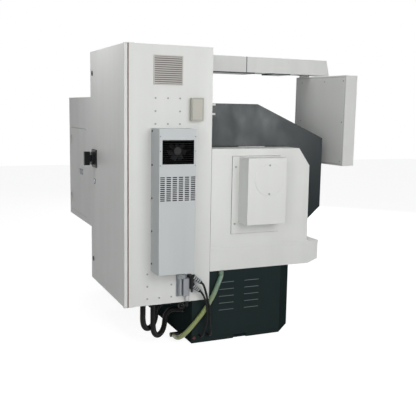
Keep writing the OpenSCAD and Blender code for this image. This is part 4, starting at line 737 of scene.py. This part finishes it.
@dataclass
class CordSet:
    """The signal cables, the power conduits and the coolant hose. Sizes in metres, routes in millimetres."""

    cable_d: float = 0.015
    cable_step: float = 0.008
    cable_sides: int = 16
    conduit_d: float = 0.040
    rib_pitch: float = 0.0062
    rib_rings: int = 4
    rib_phase: float = 0.4
    rib_depth: float = 0.0016
    rib_power: float = 0.6
    hose_d: float = 0.034
    hose_step: float = 0.006
    braid: Pair = (1.5, 0.5)
    sides: int = 28
    cable_1: Points = (
        (-750, 461, 460), (-750, 449.2, 450.8), (-750.5, 440.5, 437), (-751, 433.5, 418), (-752, 429, 403),
        (-753, 422, 377), (-753, 415, 352), (-753, 409, 328), (-753, 402, 302), (-753, 397, 278),
        (-753, 394, 252), (-753, 392, 222), (-753, 391, 188), (-753, 389, 155), (-753, 384, 122),
        (-753, 381, 103), (-747, 380, 80), (-731, 380, 64), (-714, 380, 58), (-705, 380, 58))
    cable_2: Points = (
        (-750, 470, 401), (-750, 458.5, 391.4), (-751, 449, 377), (-752, 438, 357), (-753, 428, 335),
        (-753, 421, 312), (-754, 416, 290), (-754, 412, 262), (-754, 410, 232), (-754, 411, 200),
        (-754, 416, 165), (-754, 424, 135), (-753, 432, 110), (-751, 436, 93), (-743, 439, 73),
        (-728, 440, 60), (-714, 440, 56), (-705, 440, 56))
    conduit_1: Points = (
        (-640, 850, 305), (-640, 850, 250), (-640, 850, 205), (-633, 841, 162), (-613, 817, 131),
        (-587, 783, 120), (-560, 750, 131), (-540, 726, 162), (-533, 717, 205), (-533, 711, 236),
        (-533, 694, 262), (-533, 668, 279), (-533, 637, 285), (-533, 600, 283), (-533, 565, 278),
        (-533, 545, 277), (-533, 515, 277))
    conduit_2: Points = (
        (-640, 775, 305), (-640, 775, 250), (-640, 775, 200), (-640, 775, 147), (-632, 766, 104),
        (-611, 742, 72), (-582, 710, 60), (-554, 677, 72), (-533, 654, 104), (-525, 645, 147),
        (-525, 635, 184), (-526, 608, 212), (-528, 572, 220), (-530, 545, 216), (-530, 515, 216))
    hose: Points = (
        (-708, 288, 496), (-708, 288, 484), (-711, 300, 458), (-716, 321, 415), (-720, 350, 355),
        (-723, 377, 312), (-725, 405, 272), (-725, 440, 226), (-724, 476, 183), (-722, 510, 145),
        (-716, 541, 110), (-704, 566, 82), (-684, 584, 60), (-655, 594, 46), (-620, 596, 39),
        (-586, 596, 39))

    def lay_cable(self, node: str, route: Points) -> None:
        path = smooth_path(np.asarray(route) * MM, self.cable_step)
        mesh = grid_mesh(node + "_cord", [tube(path, self.cable_d / 2, self.cable_sides)])
        piece = piece_of(mesh, BLACK_RUBBER, stands_for=[node])

    def lay_conduit(self, node: str, route: Points) -> None:
        path = smooth_path(np.asarray(route) * MM, self.rib_pitch / self.rib_rings)
        wave = np.sin(2 * math.pi * np.arange(len(path)) / self.rib_rings + self.rib_phase)
        rounded = np.sign(wave) * np.abs(wave) ** self.rib_power
        radius = self.conduit_d / 2 - self.rib_depth * (1 - rounded) / 2
        mesh = grid_mesh(node + "_cord", [tube(path, radius, self.sides)])
        piece = piece_of(mesh, CONDUIT_PLASTIC, stands_for=[node])

    def lay_hose(self) -> None:
        path = smooth_path(np.asarray(self.hose) * MM, self.hose_step)
        grid = tube(path, self.hose_d / 2, self.sides)
        u, v = (np.arange(count) * step for count, step in zip(grid.shape, self.braid))
        yarn_map = np.stack(np.meshgrid(u, v, indexing="ij"), axis=-1)
        mesh = grid_mesh("coolant_hose_cord", [grid], [yarn_map])
        piece = piece_of(mesh, HOSE_PVC, stands_for=["coolant_hose"])

    def build(self) -> None:
        """Lays every cord."""
        self.lay_cable("connector_cable_1", self.cable_1)
        self.lay_cable("connector_cable_2", self.cable_2)
        self.lay_conduit("conduit_1", self.conduit_1)
        self.lay_conduit("conduit_2", self.conduit_2)
        self.lay_hose()


# ---- The machine's own nodes ----


@dataclass
class DressedNodes:
    """The CAD nodes whose shape is right: each gets a rounded copy with its finish.

    A row has its nodes, their finish, their slot and the rounding of their edges in millimetres.
    Regions are the parts of nodes that have another finish than the rest of them.
    """

    rows: tuple[tuple[str, Finish, str, float], ...] = (
        ("chip_tray end_cover actuator_cover rear_housing cabinet overhead_duct cabinet_door rear_door",
         WHITE_PAINT, "white_paint", 1.6),
        ("pendant_case pendant_back", WHITE_PAINT, "white_paint", 3.0),
        ("enclosure front_door", SLATE_PAINT, "slate_paint", 1.6),
        ("main_motor", SLATE_PAINT, "slate_paint", 2.0),
        ("base", BASE_PAINT, "base_paint", 3.0),
        ("base_end_panel", BASE_PAINT, "base_paint", 0.8),
        ("heat_exchanger", EXCHANGER_PAINT, "exchanger_paint", 1.2),
        ("bed", CAST_PAINT, "cast_paint", 3.0),
        ("z_saddle x_slide", CAST_PAINT, "cast_paint", 1.5),
        ("tailstock", CAST_PAINT, "machined_steel", 1.5),
        ("headstock spindle chuck jaw_1 jaw_2 jaw_3 motor_rotor turret_disc live_centre",
         MACHINED_STEEL, "machined_steel", 0.8),
        ("z_screw x_screw", GROUND_STEEL, "machined_steel", 0.0),
        ("quill", GROUND_STEEL, "machined_steel", 0.6),
        ("screws", BOLT_GREY, "machined_steel", 0.5),
        ("mounting_plate", ZINC_PLATE, "zinc_plate", 0.8),
        ("cable_fittings", DIE_CAST, "fitting_metal", 1.5),
        ("fan_guard exchanger_fan upper_lock lower_lock rear_latch feed_knob",
         BLACK_PLASTIC, "black_plastic", 0.7),
        ("handwheel", BLACK_PLASTIC, "black_plastic", 1.5),
        ("z_motor switch_plate", BLACK_PLASTIC, "black_plastic", 2.0),
        ("switch_handle", BLACK_PLASTIC, "black_plastic", 3.0),
        ("operator_panel", KEYPAD_FILM, "black_plastic", 0.4),
        ("drive_belt", BLACK_RUBBER, "belt_rubber", 0.5),
        ("door_gasket", GASKET_RUBBER, "gasket_rubber", 1.5),
        ("junction_box", BEIGE_PLASTIC, "beige_plastic", 3.0),
        ("stop_mushroom", RED_PLASTIC, "red_plastic", 1.5),
        ("start_button", GREEN_PLASTIC, "green_plastic", 0.8),
        ("hold_button", YELLOW_PLASTIC, "yellow_plastic", 0.8),
        ("door_window", WINDOW_GLASS, "window_glass", 0.0),
        ("screen", SCREEN_GLASS, "screen_plastic", 1.0),
    )
    regions: tuple[tuple[str, tuple[Region, ...]], ...] = (
        ("heat_exchanger", (
            Region((-863, 560, 567), (-701, 814, 1528), LINING_FOAM),  # the inside
            Region((-803, 560, 680), (-728, 814, 990), GROUND_STEEL))),  # the cooling pack
        ("cable_fittings", (
            Region((-752, 572, 499), (-700, 630, 530), SLEEVE_GREY),  # the cap on the hoods
            Region((-768, 520, 423), (-702, 550, 521), BLACK_PLASTIC),  # the bail
            Region((-775, 530, 402), (-760, 546, 507), BLACK_PLASTIC),  # its lever
            Region((-775, 455, 395), (-730, 531, 530), BLACK_RUBBER),  # the cables' sleeves
            Region((-742, 540, 333), (-706, 572, 373), WHITE_PLASTIC),  # the gland under the second hood
            Region((-742, 540, 290), (-706, 572, 334), BLACK_PLASTIC),  # its tail
            Region((-742, 540, 288), (-706, 572, 299), WHITE_PLASTIC),  # its tip
            Region((-705, 555, 262), (-675, 612, 325), BLACK_PLASTIC),  # the clamp ring
            Region((-712, 360, 40), (-684, 456, 74), BLACK_PLASTIC),  # the cables' glands
            Region((-697, 470, 28), (-684, 497, 56), RUST_CAP),  # the drain plug
            Region((-730, 265, 470), (-680, 310, 530), ELBOW_GREEN),  # the hose's upper elbow
            Region((-680, 740, 290), (-600, 890, 330), BLACK_PLASTIC),  # the conduits' upper glands
            Region((-570, 490, 180), (-495, 530, 310), BLACK_PLASTIC),  # their lower glands
            Region((-600, 495, 15), (-540, 620, 60), BLACK_PLASTIC))),  # the hose's lower elbow
        ("screws", (
            Region((-740, 545, 560), (-700, 562, 1535), BLACK_PLASTIC),  # the exchanger's near edge
            Region((-740, 812, 560), (-700, 830, 1535), BLACK_PLASTIC),  # its far edge
            Region((-869, 556, 560), (-862, 818, 1535), DARK_SCREW))),  # its face
        ("overhead_duct", (
            Region((-140, -161.6, 1940), (60, -158.4, 2070), BLACK_PLASTIC),)),  # between its sections
        ("rear_latch", (Region((590, 955, 1090), (750, 970, 1140), LATCH_GREY),)),  # the paddle
        ("operator_panel", (
            Region((-600, -68.6, 1200), (60, -67.3, 1500), KEY_GREY,
                   PENDANT_PIVOT, PENDANT_TURN),  # the function keys
            Region((-600, -68.6, 1500), (60, -67.3, 1950), KEY_DARK,
                   PENDANT_PIVOT, PENDANT_TURN))),  # the letter keys
    )

    def build(self) -> None:
        """Makes a copy of each node."""
        regions = dict(self.regions)
        for nodes, finish, slot, width in self.rows:
            for node in nodes.split():
                softened(node, finish, width, regions.get(node, ()))


# ---- Pieces with a form of their own ----


@dataclass
class FilterGrille:
    """The outlet filter in the cabinet's side: a thin frame, leaning slats and a mat. Millimetres."""

    rim: float = 7.0
    depth: float = 6.0
    edge: float = 1.2
    slats: int = 13
    lean: float = 3.4
    skin: float = 1.6
    drop: float = 0.4
    set_back: Pair = (0.6, 1.0)
    mat: Pair = (0.9, 0.2)

    def build(self) -> None:
        """Makes the frame, the slats and the mat in the place of the CAD grille."""
        wall = box_mm("filter_grille")[1][0]
        face = wall - self.depth
        outer = side_of("filter_grille", (1, 2))
        inner = grown(outer, -self.rim)
        (y0, y1), (z0, z1) = inner
        rim = trim("grille_frame", rims(outer, inner, (face, wall), (1, 2, 0)), GREY_PLASTIC,
                   stands_for=["filter_grille"])
        round_edges(rim, self.edge)
        near, far = face + self.set_back[0], wall - self.set_back[1]
        section = ((near, -self.lean), (near + self.skin, -self.lean - self.drop),
                   (far, self.lean - self.drop), (far - self.skin, self.lean))
        centres = z0 + (z1 - z0) / self.slats * (np.arange(self.slats) + 0.5)
        outlines = [[(x, z + dz) for x, dz in section] for z in centres]
        piece_of(prisms("grille_slats", outlines, [(y0, y1)] * self.slats, 1), GREY_PLASTIC)
        mat = ((wall - self.mat[0], y0, z0), (wall - self.mat[1], y1, z1))
        trim("grille_mat", [mat], FILTER_MAT)


@dataclass
class SealLip:
    """The lip of the cabinet's door seal, which shows in the gap round the door. Millimetres."""

    gap: Pair = (970.5, 975.5)
    depth: float = 5.5
    inset: float = 0.4

    def build(self) -> None:
        """Makes the four sides of the lip, flush with the cabinet."""
        outer = grown(side_of("cabinet_door", (0, 2)), -self.inset)
        lip = rims(outer, grown(outer, -self.depth), self.gap, (0, 2, 1))
        trim("seal_lip", lip, GASKET_RUBBER)


@dataclass
class PendantCover:
    """The pendant's back cover: its pressed field inside a plain border, and its screws. Millimetres.

    It is drawn square to the axes and then turned with the pendant's case.
    """

    span: Pair = (-582.0, 45.0)
    rise: Pair = (1237.0, 1931.0)
    face: float = 45.0
    sunk: float = 0.5
    border: float = 13.0
    proud: float = 1.6
    edge: float = 1.5
    seam: float = 2.0
    seam_proud: float = 0.4
    screw_r: float = 6.0
    screw: Points = ((-0.5, 0.2), (-0.5, 1.0), (1.2, 1.0), (2.2, 0.75), (2.6, 0.4), (1.0, 0.35), (1.0, 0.05))
    screws: Points = (
        (-330.0, 1889.0), (-38.0, 1885.0), (-552.0, 1889.0), (-552.0, 1575.0), (-38.0, 1575.0),
        (-552.0, 1270.0), (-38.0, 1270.0))

    def build(self) -> None:
        """Makes the raised field on the cover's back, the seam round it and its screws."""
        inner = grown((self.span, self.rise), -self.border)
        (x0, x1), (z0, z1) = inner
        back = self.face - self.sunk
        field = blocks("pendant_field", [((x0, back, z0), (x1, self.face + self.proud, z1))])
        round_edges(self.place(field, WHITE_PAINT, "white_paint"), self.edge, 3)
        depth = (back, self.face + self.seam_proud)
        seam = blocks("pendant_seam", rims(grown(inner, self.seam), inner, depth, (0, 2, 1)))
        self.place(seam, BOX_SEAM, "white_paint")
        head = np.asarray(self.screw) * (1.0, self.screw_r) * MM
        seats = [np.array((x, self.face + self.proud, z)) * MM for x, z in self.screws]
        heads = grid_mesh("pendant_screws", [revolve(head, seat, (0, 1, 0), 16) for seat in seats])
        self.place(heads, BOLT_GREY, "zinc_plate")

    def place(self, mesh: Mesh, finish: Finish, slot: str) -> Piece:
        """Turns a mesh with the case and puts it on the pendant."""
        pivot = Matrix.Translation((PENDANT_PIVOT[0] * MM, PENDANT_PIVOT[1] * MM, 0))
        mesh.transform(pivot @ Matrix.Rotation(math.radians(PENDANT_TURN), 4, "Z"))
        return piece_of(mesh, finish, "pendant")


@dataclass
class PlugSleeves:
    """The ribs of the plugs' sleeves and the collars that hold their cables. Millimetres and degrees.

    Each exit is a sleeve's foot, its angle over the horizontal and its length. The collar's points
    are a height along the sleeve and a radius. A rib's points are a height, a share of the ribs'
    pitch to add to it, and what the radius is over the sleeve's own.
    """

    exits: tuple[tuple[Point, float, float], ...] = (
        ((-750.0, 461.0, 460.0), 38.0, 86.0), ((-750.0, 470.0, 401.0), 40.0, 77.0))
    neck: float = 14.0
    ribs: int = 4
    foot_r: float = 13.5
    widening: float = 1.4
    rib: Points = ((-0.4, 0.0, -2.0), (-0.4, 0.0, 0.0), (0.8, 0.0, 1.3), (0.0, 0.42, 1.3), (0.0, 0.52, 0.0),
                   (0.0, 0.52, -2.0))
    collar: Points = ((-1.0, 8.0), (-1.0, 10.5), (1.0, 12.0), (10.0, 12.0), (12.0, 10.5), (12.0, 8.0))

    def build(self) -> None:
        """Makes a ring round each rib of both sleeves, and a collar at the foot of each."""
        ribs, collars = [], []
        for foot, angle, length in self.exits:
            base = np.asarray(foot) * MM
            axis = (0.0, math.cos(math.radians(angle)), math.sin(math.radians(angle)))
            pitch = (length - self.neck) / self.ribs
            for k in range(self.ribs):
                height, share, over = np.asarray(self.rib).T
                along = self.neck + pitch * k + height + pitch * share
                profile = np.stack([along, self.foot_r + self.widening * k + over], axis=1)
                ribs.append(revolve(profile * MM, base, axis, 32))
            collars.append(revolve(np.asarray(self.collar) * MM, base, axis, 24))
        piece_of(grid_mesh("sleeve_ribs", ribs), SLEEVE_GREY)
        piece_of(grid_mesh("cable_collars", collars), BLACK_RUBBER)


@dataclass
class ExchangerInside:
    """The black foam that closes the heat exchanger's back. Millimetres."""

    thick: float = 1.0
    clear: float = 0.4
    inset: float = 4.5

    def build(self) -> None:
        """Makes the foam sheet against the cabinet's wall."""
        back = box_mm("heat_exchanger")[1][0] - self.clear
        (y0, y1), (z0, z1) = grown(side_of("heat_exchanger", (1, 2)), -self.inset)
        sheet = ((back - self.thick, y0, z0), (back, y1, z1))
        trim("exchanger_foam", [sheet], LINING_FOAM)


@dataclass
class DuctTrim:
    """The rubber strip in the duct's seam, and a dark strip along its underside that is painted shade.
    Millimetres.
    """

    seam: Pair = (-163.0, -156.5)
    strips: tuple[Pair, ...] = ((-235.0, 376.5), (-560.0, -400.0))
    foot: float = 1948.0
    proud: float = 0.6
    sunk: float = 2.0
    sole: Pair = (9.0, 1.0)

    def build(self) -> None:
        """Makes both trims."""
        (left, right), (_, top) = side_of("overhead_duct", (0, 2))
        edge = ((left, right), (self.foot, top))
        outer, inner = grown(edge, self.proud), grown(edge, -self.sunk)
        trim("duct_seam", rims(outer, inner, self.seam, (0, 2, 1)), SEAM_AND_SHADOW_GREY)
        # Painted shade: a dark slate strip stands in for the shaded underside of the duct.
        below, above = self.foot - self.sole[0], self.foot + self.sole[1]
        sole = [((left + self.sunk, y0, below), (right - self.sunk, y1, above)) for y0, y1 in self.strips]
        trim("duct_shade_strip", sole, SLATE_PAINT)


@dataclass
class SmallTrim:
    """The louvres' lips painted paler as highlights, the box lid's seam, the keyed lock's plate with its face
    painted as a highlight, a painted shadow and a painted highlight on the end cover's top, a painted shadow
    line round the flange, and the roof's clips.

    Millimetres. A pair called out is a span along the axis of a wall, from its face, and a pair
    called up is a span along Z, from the end cover's top.
    """

    louvre_ys: Pair = (38.0, 239.0)
    louvre_z: float = 226.0
    louvre_pitch: float = 51.0
    louvre_w: float = 118.0
    louvres: int = 5
    lip: Points = ((-0.6, -0.6), (3.0, -0.6), (3.0, 0.4), (0.4, 0.6), (0.6, 4.6), (-0.4, 4.4))
    box_inset: float = 5.0
    box_line: float = 2.6
    box_out: Pair = (-0.3, 1.0)
    lock: Pair = (88.0, 1098.0)
    lock_plate: float = 19.0
    lock_hole: float = 14.5
    lock_out: Pair = (-5.0, -3.0)
    lock_face: Points = ((0.0, 13.6), (0.6, 13.6), (1.0, 12.5))
    shadow_y: Pair = (-330.0, 368.0)
    shadow_out: Pair = (-6.0, -0.2)
    shadow_up: Pair = (-1.0, 5.5)
    glint_y: Pair = (-140.0, 76.0)
    glint_out: Pair = (-7.0, -5.8)
    glint_up: Pair = (1.0, 4.5)
    flange_x: Pair = (-701.0, -700.1)
    flange: tuple[Pair, Pair] = ((-166.0, 216.0), (783.0, 1334.0))
    flange_w: float = 2.2
    clips: tuple[tuple[Pair, Pair], ...] = (((265, 300), (1683, 1698)), ((266, 300), (1617, 1631)))
    clip_out: Pair = (-6.0, -0.1)
    clip_edge: float = 1.0

    def build(self) -> None:
        """Makes each trim in turn."""
        self.edge_louvres()
        self.seam_box()
        self.plate_lock()
        self.shade_and_clip_covers()

    def edge_louvres(self) -> None:
        """Folds a lip over the open edge of each louvre in the base's end, painted paler as a highlight where
        the edge catches the light.
        """
        face = box_mm("base_end_panel")[0][0]
        spans, outlines = [], []
        for y in self.louvre_ys:
            for k in range(self.louvres):
                spans.append((y - self.louvre_w / 2, y + self.louvre_w / 2))
                outlines.append([(face + x, z + self.louvre_z + self.louvre_pitch * k) for x, z in self.lip])
        piece_of(prisms("louvre_lips", outlines, spans, 1), LOUVRE_HIGHLIGHT)

    def seam_box(self) -> None:
        """Draws the seam between the junction box's lid and its frame."""
        face = box_mm("junction_box")[0][0]
        outer = grown(side_of("junction_box", (1, 2)), -self.box_inset)
        depth = [face + out for out in self.box_out]
        seam = rims(outer, grown(outer, -self.box_line), depth, (1, 2, 0))
        trim("box_seam", seam, BOX_SEAM)

    def plate_lock(self) -> None:
        """Puts the square plate and the face on the door's keyed lock; the face is near white, a painted
        highlight on the lock's metal.
        """
        x, z = self.lock
        depth = [box_mm("cabinet_door")[1][1] + out for out in self.lock_out]
        centre = ((z, z), (x, x))
        plate = rims(grown(centre, self.lock_plate), grown(centre, self.lock_hole), depth, (2, 0, 1))
        trim("lock_plate", plate, LOCK_BLUE, "cabinet_door")
        front = np.array((x, depth[0] - self.lock_out[0], z)) * MM
        face = grid_mesh("lock_face", [revolve(np.array(self.lock_face) * MM, front, (0, 1, 0), 32)])
        piece_of(face, LOCK_HIGHLIGHT, "cabinet_door")

    def shade_and_clip_covers(self) -> None:
        """Lays a painted shadow strip and a painted highlight strip on the end cover's top, a painted shadow
        line round the flange, and the roof's clips.
        """
        top = box_mm("end_cover")[1][2]
        wall = box_mm("enclosure")[0][0]
        # Painted shadow: a dark strip in the gap over the end cover's top; painted highlight: a pale strip
        # along part of it.
        for name, out, y, up, finish, slot in (
                ("cover_shadow_strip", self.shadow_out, self.shadow_y, self.shadow_up, BLACK_RUBBER, "belt_rubber"),
                ("cover_highlight_strip", self.glint_out, self.glint_y, self.glint_up, WHITE_PLASTIC, "zinc_plate")):
            bar = ((wall + out[0], y[0], top + up[0]), (wall + out[1], y[1], top + up[1]))
            trim(name, [bar], finish)
        # Painted shadow: a dark line round the actuator cover's flange stands in for the shadow under its
        # edge.
        outer = grown(self.flange, self.flange_w)
        trim("flange_shadow_line", rims(outer, self.flange, self.flange_x, (1, 2, 0)), SEAM_AND_SHADOW_GREY)
        near, far = (wall + out for out in self.clip_out)
        clips = [((near, y[0], z[0]), (far, y[1], z[1])) for y, z in self.clips]
        round_edges(trim("roof_clips", clips, WHITE_PAINT), self.clip_edge)


# ---- Studio ----


class LampRole(Enum):
    """What a lamp is for: to light matt surfaces, or to be a bright card that gloss mirrors."""

    FILL = "fill"
    CARD = "card"


@dataclass(frozen=True)
class Lamp:
    """A square soft lamp: where it hangs, its side in metres, its power in watts, and what it faces."""

    name: str
    place: Point
    side: float
    watts: float
    target: Point = (0.2, 0.0, 1.0)
    role: LampRole = LampRole.FILL

    def hang(self) -> None:
        """Puts the lamp into the scene."""
        data = bpy.data.lights.new(self.name, "AREA")
        data.shape, data.size, data.energy = "SQUARE", self.side, self.watts
        lamp = bpy.data.objects.new(self.name, data)
        lamp.location = self.place
        lamp.visible_glossy = self.role is LampRole.CARD
        lamp.visible_diffuse = self.role is LampRole.FILL
        lamp.rotation_euler = (Vector(self.target) - Vector(self.place)).to_track_quat("-Z", "Y").to_euler()
        bpy.context.scene.collection.objects.link(lamp)


@dataclass
class Studio:
    """The camera, the pale floor and the soft lamps."""

    eye: Point = (-4.897, 2.2445, 1.6655)
    heading: Point = (0.905, -0.3985, -0.1485)
    roll: float = 1.01
    lens: float = 57.6
    sensor: float = 36.0
    clip: Pair = (0.05, 60.0)
    floor_half: float = 14.0
    floor_grey: float = 0.62
    backdrop_grey: float = 0.3
    backdrop_glow: float = 0.9
    sky: Colour = (0.95, 0.98, 1.0)
    sky_strength: float = 0.13
    lamps: tuple[Lamp, ...] = (
        Lamp("key_lamp", (-5.6, -0.1, 2.9), 3.0, 127.0),
        Lamp("card_lamp", (-5.2, -2.42, 1.65), 1.25, 135.0, (0.0, 0.0, 1.4), LampRole.CARD),
        Lamp("top_lamp", (-0.8, 0.0, 5.5), 4.0, 50.0),
        Lamp("side_lamp", (-4.0, 2.75, 1.7), 2.0, 36.0),
        Lamp("door_lamp", (-0.2, 1.75, 2.75), 0.5, 8.0, (-0.2, 0.96, 2.15)),
        Lamp("far_lamp", (4.4, -3.8, 2.6), 3.0, 130.0))

    def place_camera(self) -> None:
        """Sets up the camera from its place, its heading and its roll."""
        data = bpy.data.cameras.new("camera")
        data.lens, data.sensor_width = self.lens, self.sensor
        data.clip_start, data.clip_end = self.clip
        forward = Vector(self.heading).normalized()
        right = forward.cross(Vector((0, 0, 1))).normalized()
        up = right.cross(forward)
        turn = math.radians(self.roll)
        side = right * math.cos(turn) + up * math.sin(turn)
        top = up * math.cos(turn) - right * math.sin(turn)
        camera = bpy.data.objects.new("camera", data)
        camera.matrix_world = Matrix((side, top, -forward)).transposed().to_4x4()
        camera.location = Vector(self.eye)
        bpy.context.scene.collection.objects.link(camera)
        bpy.context.scene.camera = camera

    def lay_floor(self) -> None:
        """Lays the floor: plain pale to matt surfaces, and near white to the camera where no shadow falls."""
        graph = Graph("floor_pale")
        graph.surface(Base_Color=(self.floor_grey,) * 3, Roughness=0.9, Specular_IOR_Level=0.1)
        path = graph.add("ShaderNodeLightPath")
        seen = graph.combine("ShaderNodeMath", path.outputs["Is Camera Ray"], path.outputs["Is Glossy Ray"],
                             operation="MAXIMUM")
        matt = graph.add("ShaderNodeBsdfDiffuse", Color=(self.backdrop_grey,) * 3)
        glow = graph.add("ShaderNodeEmission", Color=(1.0, 1.0, 1.0), Strength=self.backdrop_glow)
        both = graph.combine("ShaderNodeAddShader", matt.outputs[0], glow.outputs[0])
        pick = graph.combine("ShaderNodeMixShader", seen, graph.shader.outputs[0], both)
        graph.feed(graph.out.inputs["Surface"], pick)
        mesh = bpy.data.meshes.new("floor")
        half = self.floor_half
        corners = [(-half, -half, 0), (half, -half, 0), (half, half, 0), (-half, half, 0)]
        mesh.from_pydata(corners, [], [(0, 1, 2, 3)])
        mesh.materials.append(graph.material)
        floor = bpy.data.objects.new("floor", mesh)
        bpy.context.scene.collection.objects.link(floor)

    def light_world(self) -> None:
        """Gives the world a soft fill, and a white backdrop to the camera, to gloss and to glass."""
        world = bpy.data.worlds.new("world")
        bpy.context.scene.world = world
        world.use_nodes = True
        nodes = Nodes(world.node_tree)
        out = nodes.add("ShaderNodeOutputWorld")
        fill = nodes.add("ShaderNodeBackground", Color=self.sky, Strength=self.sky_strength)
        white = nodes.add("ShaderNodeBackground", Color=(1.0, 1.0, 1.0))
        path = nodes.add("ShaderNodeLightPath")
        seen = path.outputs["Is Camera Ray"]
        for ray in ("Is Glossy Ray", "Is Transmission Ray"):
            seen = nodes.combine("ShaderNodeMath", seen, path.outputs[ray], operation="MAXIMUM")
        pick = nodes.combine("ShaderNodeMixShader", seen, fill.outputs[0], white.outputs[0])
        nodes.feed(out.inputs["Surface"], pick)

    def build(self) -> None:
        """Sets up the whole studio."""
        self.place_camera()
        self.lay_floor()
        self.light_world()
        for lamp in self.lamps:
            lamp.hang()
        bpy.context.scene.view_settings.view_transform = "Standard"


def main() -> None:
    """Builds the studio, the cords and every sub-assembly in turn."""
    logging.basicConfig(level=logging.INFO, format="%(name)s: %(message)s")
    for part in (Studio(), CordSet(), DressedNodes(), FilterGrille(), SealLip(), PendantCover(),
                 PlugSleeves(), ExchangerInside(), DuctTrim(), SmallTrim()):
        LOG.info("building %s", type(part).__name__)
        part.build()


if __name__ == "__main__":
    main()
